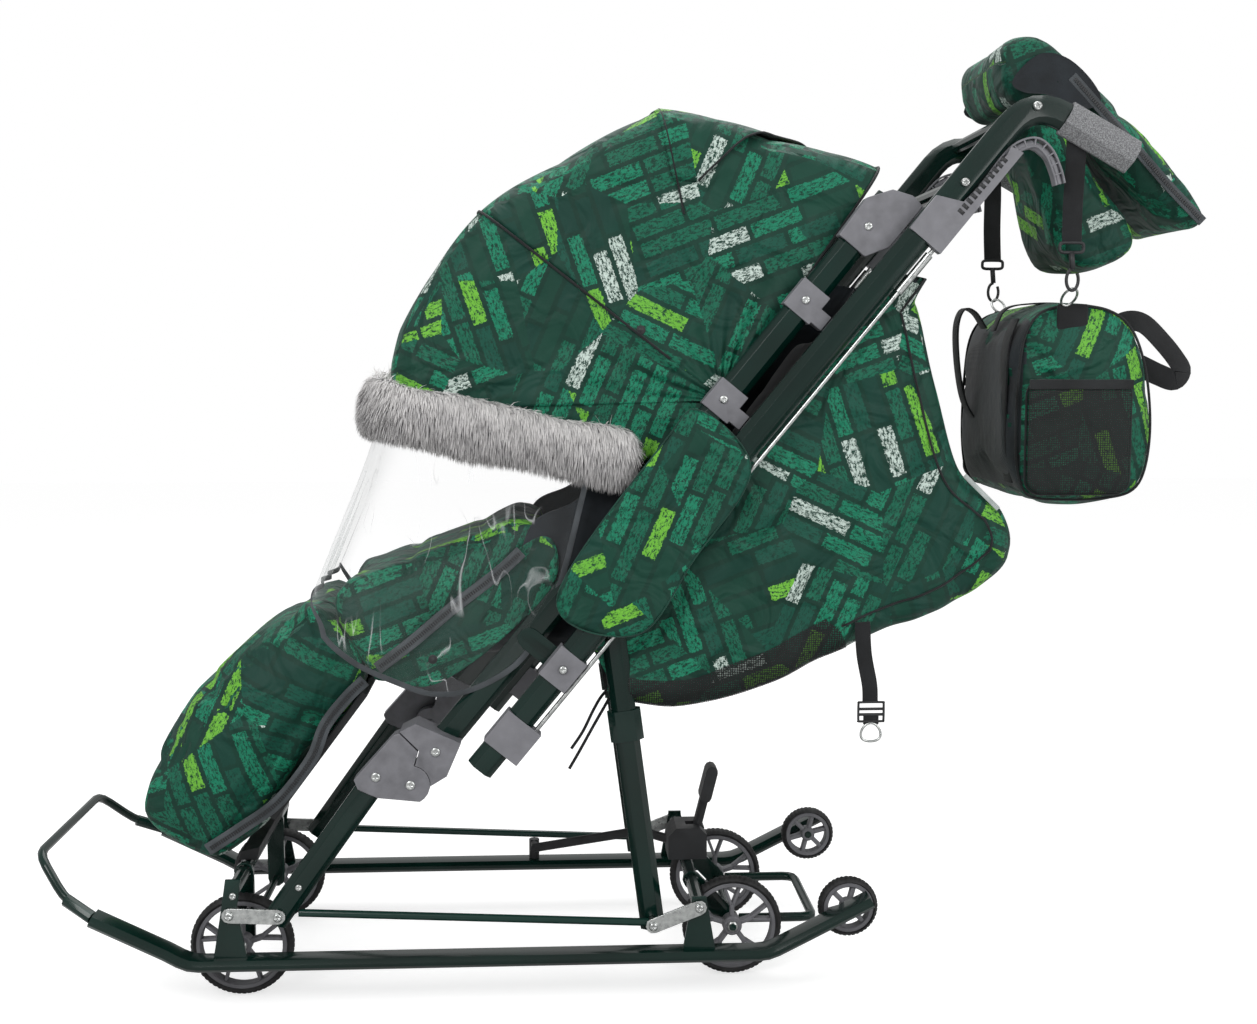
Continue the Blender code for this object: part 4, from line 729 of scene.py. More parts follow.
# %% All six wheels
for kind, (x, y, z) in WHEELS.items():
    small = kind == "small_wheel"
    radius, width, depth = (0.0415, 0.020, 0.007) if small else (0.070, 0.022, 0.009)
    for side, sign in SIDES:
        name = f"{kind}_{side}"
        centre = (x, sign * y, z)
        tread = tyre(name + "_tyre", centre, radius, width, depth, 40 if small else 60, name + "_body")
        rim(name + "_rim", centre, radius - depth, width, 6 if small else 5, not small, name + "_body")
        stands_for(name)
        screws(name + "_cap", [(x, sign * (y + width / 2 - 0.0002), z)], name + "_body", 0.0078, 0.004)
print("wheels: 6")

# %% [markdown]
# ## Printed cloth, lining, webbing, film
# The covers are coated polyester with a printed pattern of slanting bars: dark green ground, teal
# bars, a few lime ones and a few worn white ones. Bars are 22 millimetres wide and stand in patches
# about 12 centimetres across, each leaning its own way. The print is worked out from the cloth map in
# metres, so it follows every seam and fold. Speckled inks let the ground show through.

# %% The printed polyester
BAR_PITCH = 0.0255
BAR_LENGTH = 0.074
BAR_GAP = 0.0032
PATCHES_PER_METRE = 8.2
GROUND = "#03372a"
# Each ink has the chance value it starts at, its colour and how much of it is worn away.
INKS = ((0.0, GROUND, 1.0), (0.16, "#096048", 0.525), (0.42, "#02342a", 1.0),
        (0.54, "#107a5b", 0.53), (0.74, "#05493a", 0.56), (0.86, "#6cb437", 0.545),
        (0.945, "#c3d2ca", 0.51))


def printed_cloth():
    """Ink chosen per bar. Voronoi cells of the cloth map give patches, a random number turns the map
    in each patch by one of four angles, and a brick layout on the turned map gives the bars. A fine
    noise added to the map frays their ends. The weave and soft folds are in the bump."""
    made, shader, add = new_material("printed_polyester", "#04392c", 0.6, Sheen_Weight=0.06,
                                     Sheen_Roughness=0.4, Specular_IOR_Level=0.3)
    place = add("UVMap", uv_map="cloth")
    fray = add("TexNoise", {"Vector": place, "Scale": 330.0, "Detail": 2.0}, noise_dimensions="2D")
    ragged = add("VectorMath", {0: fray.outputs["Color"], 1: (0.0042, 0.0042, 0.0), 2: place},
                 operation="MULTIPLY_ADD")
    patch = add("TexVoronoi", {"Vector": ragged, "Scale": PATCHES_PER_METRE, "Randomness": 0.85},
                voronoi_dimensions="2D")
    chance = add("SeparateColor", {"Color": patch.outputs["Color"]})
    turn = add("Math", {0: chance, 1: 4.0}, operation="MULTIPLY")
    turn = add("Math", {0: turn}, operation="FLOOR")
    turn = add("Math", {0: turn, 1: 0.80, 2: -1.16}, operation="MULTIPLY_ADD")
    leaned = add("VectorRotate", {"Vector": ragged, "Angle": turn}, rotation_type="Z_AXIS")
    bars = add("TexBrick", {"Vector": leaned, "Color1": grey(0.0), "Color2": grey(1.0),
                            "Mortar": grey(0.02), "Scale": 1.0, "Mortar Size": BAR_GAP,
                            "Mortar Smooth": 0.0, "Brick Width": BAR_LENGTH,
                            "Row Height": BAR_PITCH},
               offset=0.41, offset_frequency=2, squash=1.4, squash_frequency=3)
    split = add("SeparateXYZ", {"Vector": leaned})
    cell = add("Math", {0: split.outputs["Y"], 1: BAR_PITCH}, operation="DIVIDE")
    cell = add("Math", {0: cell}, operation="FLOOR")
    seed = add("CombineXYZ", {"X": bars, "Y": cell, "Z": chance.outputs[1]})
    pick = add("TexWhiteNoise", {"Vector": seed}, noise_dimensions="3D")
    strokes = add("VectorMath", {0: leaned, 1: (0.34, 1.0, 1.0)}, operation="MULTIPLY")
    speck = add("TexNoise", {"Vector": strokes, "Scale": 360.0, "Detail": 4.0, "Roughness": 0.8},
                noise_dimensions="2D")
    inks = add("ValToRGB", {"Fac": pick}, [(start, ink) for start, ink, wear in INKS], True)
    worn = add("ValToRGB", {"Fac": pick}, [(start, wear) for start, ink, wear in INKS], True)
    shown = add("Math", {0: worn, 1: speck}, operation="SUBTRACT")
    shown = add("Math", {0: shown, 1: 15.0, 2: 0.5}, operation="MULTIPLY_ADD", use_clamp=True)
    gap = add("Math", {0: 1.0, 1: bars.outputs["Fac"]}, operation="SUBTRACT")
    share = add("Math", {0: shown, 1: gap}, operation="MULTIPLY")
    inked = add("Mix", {0: share, 6: colour("#022e23"), 7: inks}, data_type="RGBA").outputs[2]
    cloud = add("TexNoise", {"Vector": place, "Scale": 7.0, "Detail": 3.0}, noise_dimensions="2D")
    fade = add("ValToRGB", {"Fac": cloud}, ((0.3, 0.0), (0.75, 0.12)))
    tint = add("Mix", {0: fade, 6: inked, 7: colour("#0a5f49")}, data_type="RGBA").outputs[2]
    weave = add("TexWave", {"Vector": place, "Scale": 330.0, "Distortion": 0.6},
                bands_direction="DIAGONAL").outputs["Fac"]
    folds = add("TexNoise", {"Vector": place, "Scale": 15.0, "Detail": 2.5, "Distortion": 0.9},
                noise_dimensions="2D")
    fine = add("Bump", {"Height": weave, "Strength": 0.25, "Distance": 0.0004})
    soft = add("Bump", {"Height": folds, "Strength": 0.75, "Distance": 0.016, "Normal": fine})
    feed(shader, {"Base Color": tint, "Normal": soft})
    return made


def plain_cloth(name, base, light, rough=0.72, weave_scale=420.0, depth=0.0004, sheen=0.2):
    """A plain woven cloth: two crossed waves for the weave and a cloudy tone over centimetres."""
    made, shader, add = new_material(name, base, rough, Sheen_Weight=sheen, Specular_IOR_Level=0.3)
    spot = add("TexCoord").outputs["Object"]
    cloud = add("TexNoise", {"Vector": spot, "Scale": 26.0, "Detail": 4.0})
    tone = add("ValToRGB", {"Fac": cloud}, ((0.3, base), (0.75, light)))
    warp, weft = (add("TexWave", {"Vector": spot, "Scale": weave_scale}, bands_direction=way)
                  for way in "XZ")
    cross = add("Math", {0: warp.outputs["Fac"], 1: weft.outputs["Fac"]}, operation="ADD")
    fine = add("Bump", {"Height": cross, "Strength": 0.5, "Distance": depth})
    soft = add("Bump", {"Height": cloud, "Strength": 0.3, "Distance": 0.006, "Normal": fine})
    feed(shader, {"Base Color": tone, "Normal": soft})
    return made


# %% Film, mesh and fur
def clear_film():
    """Soft PVC film: almost all of the light passes straight on. A glancing view turns it milky. Pale
    lines are painted highlights along creases, where a warped noise passes its middle value, in patches."""
    made, shader, add = new_material("clear_pvc_film", "#f4f7f8", 0.08, Specular_IOR_Level=0.7)
    turn = add("LayerWeight", {"Blend": 0.3})
    spot = add("TexCoord").outputs["Object"]
    tall = add("VectorMath", {0: spot, 1: (2.4, 2.4, 0.8)}, operation="MULTIPLY")
    highlight_noise = add("TexNoise", {"Vector": tall, "Scale": 7.0, "Detail": 1.5, "Distortion": 1.2})
    # painted highlight: a thin pale band of the noise stands for glints along the creases
    crease_highlight = add("ValToRGB", {"Fac": highlight_noise}, ((0.484, 0.0), (0.499, 0.34), (0.510, 0.0)))
    patches = add("TexNoise", {"Vector": spot, "Scale": 13.0, "Detail": 1.0})
    where = add("ValToRGB", {"Fac": patches}, ((0.50, 0.0), (0.62, 1.0)))
    glint = add("Math", {0: crease_highlight, 1: where}, operation="MULTIPLY")
    edge = add("Math", {0: turn.outputs["Facing"], 1: 0.30, 2: 0.015}, operation="MULTIPLY_ADD")
    cover = add("Math", {0: edge, 1: glint}, operation="ADD", use_clamp=True)
    wrinkle = add("TexNoise", {"Vector": spot, "Scale": 24.0, "Detail": 2.0, "Distortion": 0.8})
    bump = add("Bump", {"Height": wrinkle, "Strength": 0.4, "Distance": 0.008})
    feed(shader, {"Alpha": cover, "Normal": bump})
    return made


def open_mesh():
    """Knitted mesh: round holes 3 mm apart, cut through with the alpha."""
    made, shader, add = new_material("knitted_mesh", "#0c0d0e", 0.7)
    place = add("UVMap", uv_map="cloth")
    grow = add("VectorMath", {0: place, 1: (330.0, 330.0, 330.0)}, operation="MULTIPLY")
    holes = add("TexVoronoi", {"Vector": grow, "Scale": 1.0, "Randomness": 0.0},
                voronoi_dimensions="2D")
    solid = add("ValToRGB", {"Fac": holes}, ((0.0, 0.12), (0.34, 1.0)), True)
    bump = add("Bump", {"Height": holes, "Strength": 0.6, "Distance": 0.0008})
    feed(shader, {"Alpha": solid, "Normal": bump})
    return made


def fur_hair():
    """Acrylic pile: each hair's value mixes painted light and shade round the roll (pale on top, dark
    below, with the darker guard hairs of the lower fringe) with its own random tint. Along the hair the
    colour runs dark at the root and pale at the tip.
    """
    made, shader, add = new_material("acrylic_fur", "#9b9a9a", 0.62, Sheen_Weight=0.5)
    root = add("Attribute", attribute_name="hair_height").outputs["Fac"]
    chance = add("Attribute", attribute_name="hair_light_and_tint").outputs["Fac"]
    along = add("ValToRGB", {"Fac": root}, ((0.0, "#8b898c"), (0.45, "#bfbdbd"), (1.0, "#dcdad8")))
    # painted light: the hair value runs from shaded and dark to lit and pale
    shade = add("ValToRGB", {"Fac": chance}, ((0.0, "#3c3a3d"), (0.35, "#a19fa0"), (1.0, "#efedeb")))
    tint = add("Mix", {0: 0.62, 6: along, 7: shade}, data_type="RGBA")
    feed(shader, {"Base Color": tint.outputs[2]})
    return made


PRINT = printed_cloth()
LINING = plain_cloth("dark_lining", "#12161a", "#232a30")
GREEN_LINING = plain_cloth("green_lining", "#033026", "#0b4a3a")
WEBBING = plain_cloth("black_webbing", "#0b0c0e", "#1d1f22", 0.66, 700.0, 0.0006, 0.1)
BINDING = plain_cloth("grey_binding", "#3b3f42", "#565b5f", 0.6, 520.0, 0.0005, 0.1)
BLACK_BINDING = plain_cloth("black_binding", "#101213", "#242729", 0.6, 520.0, 0.0005, 0.1)
REFLECTIVE = plain_cloth("reflective_tape", "#8e9694", "#c3cac7", 0.35, 900.0, 0.0002, 0.0)
FILM = clear_film()
MESH = open_mesh()
FUR = fur_hair()
print("cloth finishes:", len(bpy.data.materials))

# %% [markdown]
# ## The hood
# The hood is one sheet of cloth pulled over a rib and held at two pivots. For every angle round the
# pivot there is an arch: straight up one side, round a soft corner, over the crown and down again.
# So the sheet is a grid of angle by place along the arch. Between ribs the cloth is not held, so it
# sinks a few millimetres, and near the pivots it gathers in narrow radial folds.

# %% Shape of the hood
HOOD_PIVOT = np.array(on_tube(0.654, 0.0))
HOOD_CENTRE = (HOOD_PIVOT[0], 0.0, HOOD_PIVOT[1])
HOOD_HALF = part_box("canopy_front")[1][1]
HOOD_CORNER = 0.055
REAR_INSET = 0.006
CROWN = np.array([(50, 0.385), (66, 0.366), (79, 0.359), (91, 0.373), (102, 0.395), (106, 0.389),
                  (124, 0.385), (141.5, 0.407), (155, 0.421), (168, 0.443), (174, 0.446),
                  (184, 0.442)])
RIBS = np.array([55.0, 102.0, 142.0, 182.0])
CROWN_DOME = 0.006
RIB_SAG = 0.005


def half_arches(angles, lift, inner):
    """Half of each arch as distances r from the pivot and sideways places y: straight up the side,
    round the corner, and over to the middle of the crown. The crown radius comes from the outline in
    the photograph, and the dome adds a shallow parabola across. The rear panel is narrower by an
    inset, so that the front one folds over it."""
    radius = np.interp(angles, CROWN[:, 0], CROWN[:, 1]) + lift
    half = HOOD_HALF + lift - REAR_INSET * np.clip((142 - angles) / 12, 0, 1)
    side_r = inner + np.linspace(0, 1, 22)[None] * (radius - HOOD_CORNER - inner)
    side_y = np.broadcast_to(-half, side_r.shape)
    turn = np.linspace(0, np.pi / 2, 9)[1:][None]
    corner_r = radius - HOOD_CORNER + HOOD_CORNER * np.sin(turn)
    corner_y = np.broadcast_to(-half + HOOD_CORNER - HOOD_CORNER * np.cos(turn), corner_r.shape)
    flat = np.linspace(1, 0, 15)[1:][None]
    crown_r = radius + CROWN_DOME * (1 - flat ** 2)
    crown_y = np.broadcast_to(-(half - HOOD_CORNER) * flat, crown_r.shape)
    r = np.concatenate([side_r, corner_r, crown_r], axis=1)
    y = np.concatenate([side_y, corner_y, crown_y], axis=1)
    return r, y, r / radius, half


def arch(angles, lift=0.0, inner=0.016, slack=1.0):
    """Points of the arches at some angles, as (angle, place, xyz). Slack scales the sag between ribs
    (a squared sine of the angle's share from rib to rib) and the radial folds (a cosine of the angle,
    growing towards the pivot)."""
    angles = np.asarray(angles, float)[:, None]
    r, y, share, half = half_arches(angles, lift, inner)
    k = np.clip(np.searchsorted(RIBS, angles[:, 0], side="right") - 1, 0, 2)
    place = (angles[:, 0] - RIBS[k]) / (RIBS[k + 1] - RIBS[k])
    free = np.sin(np.pi * np.clip(place, 0, 1))[:, None] ** 2
    fold = 0.5 - 0.5 * np.cos(np.radians(angles) * 27 + 5 * share)
    pinch = np.clip(1.15 - share, 0, 1) ** 1.5 * np.clip(share * 6, 0, 1)
    wave = 0.5 - 0.5 * np.sin(np.radians(angles) * 23 + 9 * share)
    y = y + slack * (free * 0.0045 * np.clip(share * 2, 0, 1) + fold * pinch * 0.0042
                     + wave * free * 0.0022)
    r = r - slack * free * RIB_SAG * (y > -half * 0.9) * (0.4 + 0.6 * np.abs(y) / half)
    r = np.concatenate([r, r[:, -2::-1]], axis=1)
    y = np.concatenate([y, -y[:, -2::-1]], axis=1)
    turn = np.radians(angles)
    flat = HOOD_PIVOT + r[..., None] * np.stack([np.cos(turn), np.sin(turn)], axis=-1)
    return stood(flat, y)


def crown_line():
    """The hood's middle line in (x, z), for the cloth map."""
    turn = np.radians(np.arange(50, 186, 3))
    radius = np.interp(np.degrees(turn), CROWN[:, 0], CROWN[:, 1])
    return HOOD_PIVOT + radius[:, None] * np.stack([np.cos(turn), np.sin(turn)], axis=1)


def face_away(mesh, centre):
    """Turn an open sheet's faces so that they look away from a centre."""
    outward = read(mesh.polygons, "center") - np.asarray(centre)
    if (outward * read(mesh.polygons, "normal")).sum() < 0:
        mesh.flip_normals()


def lined(name, mesh, centre, line, material, back, body, thick):
    """A piece of cloth from an open mesh: cloth map, real thickness inwards, a second cloth inside."""
    face_away(mesh, centre)
    cloth_map(mesh, along_line(line))
    piece = link(name, mesh, material, body)
    mesh.materials.append(back)
    wall = piece.modifiers.new("cloth_thickness", "SOLIDIFY")
    wall.thickness = thick
    wall.offset = -1.0
    wall.material_offset = 1
    return piece


def flat_area(grid):
    """The area of a grid of points: half the cross product of each quad's diagonals, added up."""
    a = grid[1:, 1:] - grid[:-1, :-1]
    b = grid[1:, :-1] - grid[:-1, 1:]
    return float(np.linalg.norm(np.cross(a, b), axis=-1).sum() / 2)


def tape(name, path, width, thick, outward, material, body):
    """A flat ribbon along a path: its thickness points outwards and its width lies on the cloth."""
    grid = capped(carried(path, round_profile(thick, width, thick * 0.45, 3), across=outward))
    mesh = grid_mesh(name, grid, False, True, 40)
    cloth_map(mesh, along_line(path[:, (0, 2)]))
    return link(name, mesh, material, body)


def side_tape(name, line, y, sign, width, thick, material, body):
    """A ribbon along an (x, z) line, flat on a side face at a sideways place."""
    return tape(name, stood(line, y), width, thick, np.array([0, sign, 0]), material, body)


def cord_edge(name, path, radius, material, body):
    """Piping: a round cord sewn in along an edge."""
    grid = capped(carried(path, circle12 * radius, across=(0.31, 0.13, 0.94)))
    mesh = grid_mesh(name, grid, False, True)
    cloth_map(mesh, along_line(path[:, (0, 2)]))
    return link(name, mesh, material, body)


# %% The two panels, their seams and the roof flap
CLOTH_THICK = 0.0016
hood_rows = (("hood_front", "canopy_front", "hood", arch(np.linspace(142.0, 182.0, 40), slack=0.7)),
             ("hood_rear", "canopy_rear", "seat_frame", arch(np.linspace(55.0, 141.9, 84))))
for name, node, body, grid in hood_rows:
    piece = lined(name, grid_mesh(name, grid), HOOD_CENTRE, crown_line(), PRINT, GREEN_LINING, body,
                  CLOTH_THICK)
    stands_for(node)
    print(name, "flat area", round(flat_area(grid), 3), "m2")


def seam(name, angle, body, inner=0.10, lift=0.0012, radius=0.0018):
    """Piping over the hood at one angle, from a little above one pivot to the other."""
    return cord_edge(name, arch([angle], lift, inner, 0.0)[0], radius, BLACK_BINDING, body)


seam("hood_rib_seam", 142.2, "hood", 0.09)
seam("hood_roof_seam", 102.0, "seat_frame", 0.25, 0.0010, 0.0014)
seam("hood_back_edge", 55.4, "seat_frame", 0.12)


FLAP_REACH = 0.238
FLAP_START = 68.8
FLAP_SLANT = 30.0
FLAP_END = 103


def roof_flap():
    """A loose flap over the back of the roof, wrapped round its corners: it starts at the roof seam,
    and its free edge slants from the side up to the middle of the crown. Each column of a fine arch
    grid is cut off at its own angle, which grows with the distance s from the middle as s to 1.3."""
    first = 55
    whole = arch(np.linspace(first, FLAP_END, 97), 0.0020, 0.016, 0.35)
    run = lengths(whole[70])
    away = np.abs(run - run[-1] / 2)
    kept = np.flatnonzero(away < FLAP_REACH)
    edge = FLAP_START + FLAP_SLANT * (away[kept] / FLAP_REACH) ** 1.3
    share = np.linspace(0, 1, 24)[:, None]
    at = (edge + (FLAP_END - edge) * share - first) * 2
    low = np.clip(at.astype(int), 0, 95)
    part = (at - low)[..., None]
    grid = whole[low, kept] * (1 - part) + whole[low + 1, kept] * part
    proud = 0.0024 * (1 - share) ** 3 + 0.0010 * np.sin(away[kept] * 60 + share * 4) * (1 - share)
    return grid + unit(grid - np.array(HOOD_CENTRE)) * proud[..., None]


flap_grid = roof_flap()
flap = lined("roof_flap", grid_mesh("roof_flap", flap_grid), HOOD_CENTRE, crown_line(), PRINT, LINING,
             "seat_frame", 0.0014)
cord_edge("roof_flap_edge", flap_grid[0], 0.0015, BLACK_BINDING, "seat_frame")
print("roof flap area", round(flat_area(flap_grid), 3), "m2")

# %% Lower wings of the hood
def ringed(flat_outline, y_of, rings=22, count=120):
    """A flat sheet on a side face: rings of a smooth outline shrink to its middle, and y_of gives the
    sideways place for each (x, z) and share."""
    ring = smooth_line(flat_outline, count, closed=True)
    middle = ring.mean(0)
    share = np.linspace(1, 0.02, rings)[:, None, None]
    flat = middle + (ring[None] - middle) * share
    grid = stood(flat, y_of(flat, share[..., 0]))
    return np.concatenate([grid, np.repeat(grid[-1:].mean(1, keepdims=True), count, axis=1)]), ring


def side_sheet(name, outline, y_of, body, thick=0.0012, material=PRINT):
    """A ringed sheet with a cloth outside and a lining inside."""
    grid, ring = ringed(outline, y_of)
    centre = (ring[:, 0].mean(), 0.0, ring[:, 1].mean())
    lined(name, grid_mesh(name, grid, False, True), centre, ring, material, LINING, body, thick)
    return ring


WING = [(0.116, 0.797), (0.000, 0.803), (-0.150, 0.800), (-0.300, 0.797), (-0.322, 0.790),
        (-0.200, 0.768), (-0.100, 0.746), (0.000, 0.724), (0.028, 0.727), (0.075, 0.758)]


def wing_place(flat, share):
    """The wing hugs the hood's side, with shallow upright folds."""
    return HOOD_HALF - 0.0010 - 0.0016 * np.sin(flat[..., 0] * 130) ** 2


for side, sign in SIDES:
    side_sheet(f"hood_wing_{side}", WING, lambda *at: sign * wing_place(*at), "hood")
print("hood wings: 2")

# %% [markdown]
# ## Fur trim
# The roll is padded and wrapped in long-pile fur. The roll itself is an oval carried along a rounded
# U. The pile is many thin tapered blades of three triangles each, rooted on the roll. Each leans with
# a shared wind that changes slowly over the roll, so neighbours clump, and all hang a little down.

# %% The roll
FUR_REAR = np.array([0.010, 0.728])
FUR_FRONT = np.array([-0.3405, 0.802])
fur_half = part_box("fur_trim")[1][1] - 0.022


def rounded_path(corners, radius, steps=12):
    """Straight runs with each inner corner replaced by a quadratic curve of that reach."""
    corners = np.asarray(corners, float)
    t = np.linspace(0, 1, steps)[:, None]
    parts = [corners[:1]]
    for before, corner, after in zip(corners, corners[1:], corners[2:]):
        entry = corner + unit(before - corner) * radius
        leave = corner + unit(after - corner) * radius
        parts.append(bent(entry, corner, leave, t))
    parts.append(corners[-1:])
    return np.concatenate(parts)


def bent(entry, corner, leave, t):
    """A quadratic curve from entry to leave, pulled towards the corner."""
    return entry * (1 - t) ** 2 + corner * 2 * t * (1 - t) + leave * t ** 2


fur_corners = [(FUR_REAR[0], -fur_half, FUR_REAR[1]), (FUR_FRONT[0], -fur_half, FUR_FRONT[1]),
               (FUR_FRONT[0], fur_half, FUR_FRONT[1]), (FUR_REAR[0], fur_half, FUR_REAR[1])]
fur_path = even(rounded_path(fur_corners, 0.085), 160)
fur_run = np.array([FUR_FRONT[0] - FUR_REAR[0], 0, FUR_FRONT[1] - FUR_REAR[1]])
fur_up = np.array([-fur_run[2], 0, fur_run[0]]) / np.linalg.norm(fur_run)
fur_up = fur_up if fur_up[2] > 0 else -fur_up

ROLL_TALL = 0.033
ROLL_WIDE = 0.0150


def roll_points(u, v):
    """A spot on the roll for a share u of its length and an angle v round it, and the way outwards.
    The oval is 66 by 30 mm, plumper in the middle of each stretch, and shrinks to nothing at the
    ends."""
    at = u * (len(fur_path) - 1)
    slope = np.gradient(fur_path, axis=0)
    base, step = (np.stack([np.interp(at, np.arange(len(fur_path)), values[:, k]) for k in range(3)],
                           axis=-1) for values in (fur_path, slope))
    step = unit(step)
    side = unit(np.cross(step, fur_up))
    end = np.clip(np.minimum(u, 1 - u) / 0.022, 0, 1)
    size = np.sqrt(1 - (1 - end) ** 2) * (1 + 0.05 * np.sin(u * 37) + 0.035 * np.sin(v * 3 + u * 61))
    tall = (ROLL_TALL * size * np.sin(v))[..., None]
    wide = (ROLL_WIDE * size * np.cos(v))[..., None]
    spot = base + fur_up * tall + side * wide
    away = unit(fur_up * (np.sin(v) / ROLL_TALL)[..., None] + side * (np.cos(v) / ROLL_WIDE)[..., None])
    inward = np.where(u < 0.5, -1.0, 1.0)[..., None] * (1 - end)[..., None]
    return spot, unit(away + step * inward), step


u, v = np.meshgrid(np.linspace(0, 1, 170), np.linspace(0, 2 * np.pi, 28, endpoint=False), indexing="ij")
roll_grid = roll_points(u, v)[0]
roll = link("fur_roll", grid_mesh("fur_roll", roll_grid, False, True), FUR, "hood")
stands_for("fur_trim")


# %% The pile
def pile(name, count, seed):
    """Tapered blades rooted on the roll: direction = outwards + down + a wind of slow sines + chance."""
    chance = np.random.default_rng(seed)
    u = chance.uniform(0.0, 1.0, count)
    v = chance.uniform(0, 2 * np.pi, count)
    root, away, step = roll_points(u, v)
    wind = np.stack([np.sin(u * 90 + v * 3), np.sin(u * 70 - v * 4 + 2), np.sin(u * 110 + v * 2 + 4)],
                    axis=1)
    lean = 0.75 * away + 0.15 * wind + step * (0.16 * np.sin(u * 90 + v * 3))[:, None]
    lean += chance.normal(0, 0.10, (count, 3))
    lean[:, 2] -= 1.05
    lean = unit(lean)
    inside = (lean * away).sum(1, keepdims=True)
    lean = unit(lean + away * np.clip(0.17 - inside, 0, None))
    long = chance.uniform(0.012, 0.021, count)[:, None]
    wide = unit(np.cross(lean, away + chance.normal(0, 0.25, (count, 3))))
    wide *= chance.uniform(0.00045, 0.0008, count)[:, None]
    droop = np.array([0, 0, -0.22])
    middle = root + lean * long * 0.5
    tip = root + unit(lean + droop) * long
    hair = np.stack([root - wide, root + wide, middle - wide * 0.8, middle + wide * 0.8, tip], axis=1)
    k = np.arange(count) * 5
    quads = np.stack([k, k + 1, k + 3, k + 2], axis=1).tolist()
    tips = np.stack([k + 2, k + 3, k + 4], axis=1).tolist()
    mesh = bpy.data.meshes.new(name)
    mesh.from_pydata(hair.reshape(-1, 3).tolist(), [], quads + tips)
    mesh.shade_smooth()
    height = mesh.attributes.new("hair_height", "FLOAT", "POINT")
    height.data.foreach_set("value", np.tile([0, 0, 0.55, 0.55, 1.0], count).astype(np.float32))
    tint = mesh.attributes.new("hair_light_and_tint", "FLOAT", "POINT")
    # painted light and shade: the sine of the angle round the roll makes hairs on top paler and those
    # below darker, partly also the darker guard hairs of the fringe; the noise gives each hair its own
    # tint
    shade = 0.58 + 0.34 * np.sin(v + 0.35) + 0.10 * np.sin(u * 140 + v * 5)
    shade = np.clip(shade + chance.normal(0, 0.17, count), 0, 1)
    tint.data.foreach_set("value", np.repeat(shade, 5).astype(np.float32))
    return link(name, mesh, FUR, "hood")


fur_pile = pile("fur_pile", 62000, 4)
print("hairs:", len(fur_pile.data.polygons) // 2)

# %% [markdown]
# ## Clear shield
# A flexible film hangs from under the fur, round the knees. Its top edge follows the roll and its hem
# is the curve in the photograph, bound in grey tape. Film that was folded in a box keeps soft upright
# folds, so the sheet moves in and out by a few millimetres, more towards the hem.

# %% The film
shield_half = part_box("rain_shield")[1][1] - 0.0006
SHIELD_TURN = 0.060


def edge_round(line, turn=SHIELD_TURN, side=40, bend=14, front=22):
    """Carry an (x, z) side line round the nose to the middle: side run, quadratic corner, front."""
    points = stood(np.asarray(line, float), -shield_half)
    straight = at_lengths(points, np.linspace(0, lengths(points)[-1] - turn, side))
    corner = points[-1]
    leave = corner + np.array([0, turn, 0])
    curve = bent(straight[-1], corner, leave, np.linspace(0, 1, bend)[1:, None])
    t = np.linspace(0, 1, front)[1:, None]
    half = np.concatenate([straight, curve, leave * (1 - t) + corner * np.array([1, 0, 1]) * t])
    return np.concatenate([half, half[-2::-1] * np.array([1, -1, 1])])


BINDING_WIDTH = 0.0075
BINDING_THICK = 0.0016
FOLD_DEPTH = 0.0085
FOLDS = 9
way = fur_run[(0, 2),] / np.linalg.norm(fur_run)
under = -fur_up[(0, 2),] * 0.030
top_line = np.array([FUR_REAR + way * s + under for s in (0.058, 0.20, 0.345)])
hem_line = smooth_line([(-0.080, 0.600), (-0.091, 0.563), (-0.115, 0.506), (-0.150, 0.456),
                        (-0.211, 0.422), (-0.263, 0.417), (-0.309, 0.433), (-0.364, 0.462),
                        (-0.405, 0.498), (-0.424, 0.551)], 60)
top_edge = edge_round(top_line)
hem_edge = edge_round(hem_line)
t = np.linspace(0, 1, 44)[:, None]
film_grid = top_edge[None] * (1 - t[..., None]) + hem_edge[None] * t[..., None]
run = np.linspace(0, 1, film_grid.shape[1])[None]
away = np.gradient(hem_edge, axis=0)
away = unit(np.stack([away[:, 1], -away[:, 0], np.zeros(len(away))], axis=1))
away *= np.sign((away * (hem_edge - hem_edge.mean(0))).sum(1, keepdims=True))
depth = -FOLD_DEPTH * t ** 0.8 * (0.5 - 0.5 * np.cos(run * 2 * np.pi * FOLDS
                                                     + 1.2 * np.sin(run * 25)))
depth -= 0.003 * np.sin(np.pi * t) * (0.5 + 0.5 * np.sin(run * 57 + t * 5))
film_grid = film_grid + away[None] * depth[..., None]
film_mesh = grid_mesh("shield_film", film_grid)
face_away(film_mesh, (-0.2, 0.0, 0.6))
film = link("shield_film", film_mesh, FILM, "hood")
stands_for("rain_shield")
bindings = [tape("shield_hem", film_grid[-1], BINDING_WIDTH, BINDING_THICK, away, BINDING, "hood")]
for (side, sign), edge in zip(SIDES, (film_grid[:, 0], film_grid[:, -1])):
    bindings.append(tape(f"shield_edge_{side}", edge, BINDING_WIDTH, BINDING_THICK,
                         np.array([0, sign, 0]), BINDING, "hood"))
for piece in [film] + bindings:
    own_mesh(piece)


# %% Snaps
SNAP_RADIUS = 0.0062
SNAP = [(1.0, 0.0), (1.0, 0.0012), (0.8, 0.0020), (0.55, 0.0012), (0.35, 0.0024), (0.05, 0.0027)]


def snap(name, spot, body):
    """A pressed snap button: a turned cap with a ring."""
    outline = [(share * SNAP_RADIUS, height) for share, height in SNAP]
    return put_parts(name, [turned(outline, spot, 28, np.sign(spot[1]))], BLACK_NYLON, body)


for side, sign in SIDES:
    stud = snap(f"shield_snap_{side}", (-0.2589, sign * (shield_half + 0.0006), 0.4648), "hood")
    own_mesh(stud)
    snap(f"hood_snap_{side}", (0.0179, sign * (HOOD_HALF - 0.002), 0.8981), "seat_frame")
print("snaps: 4")

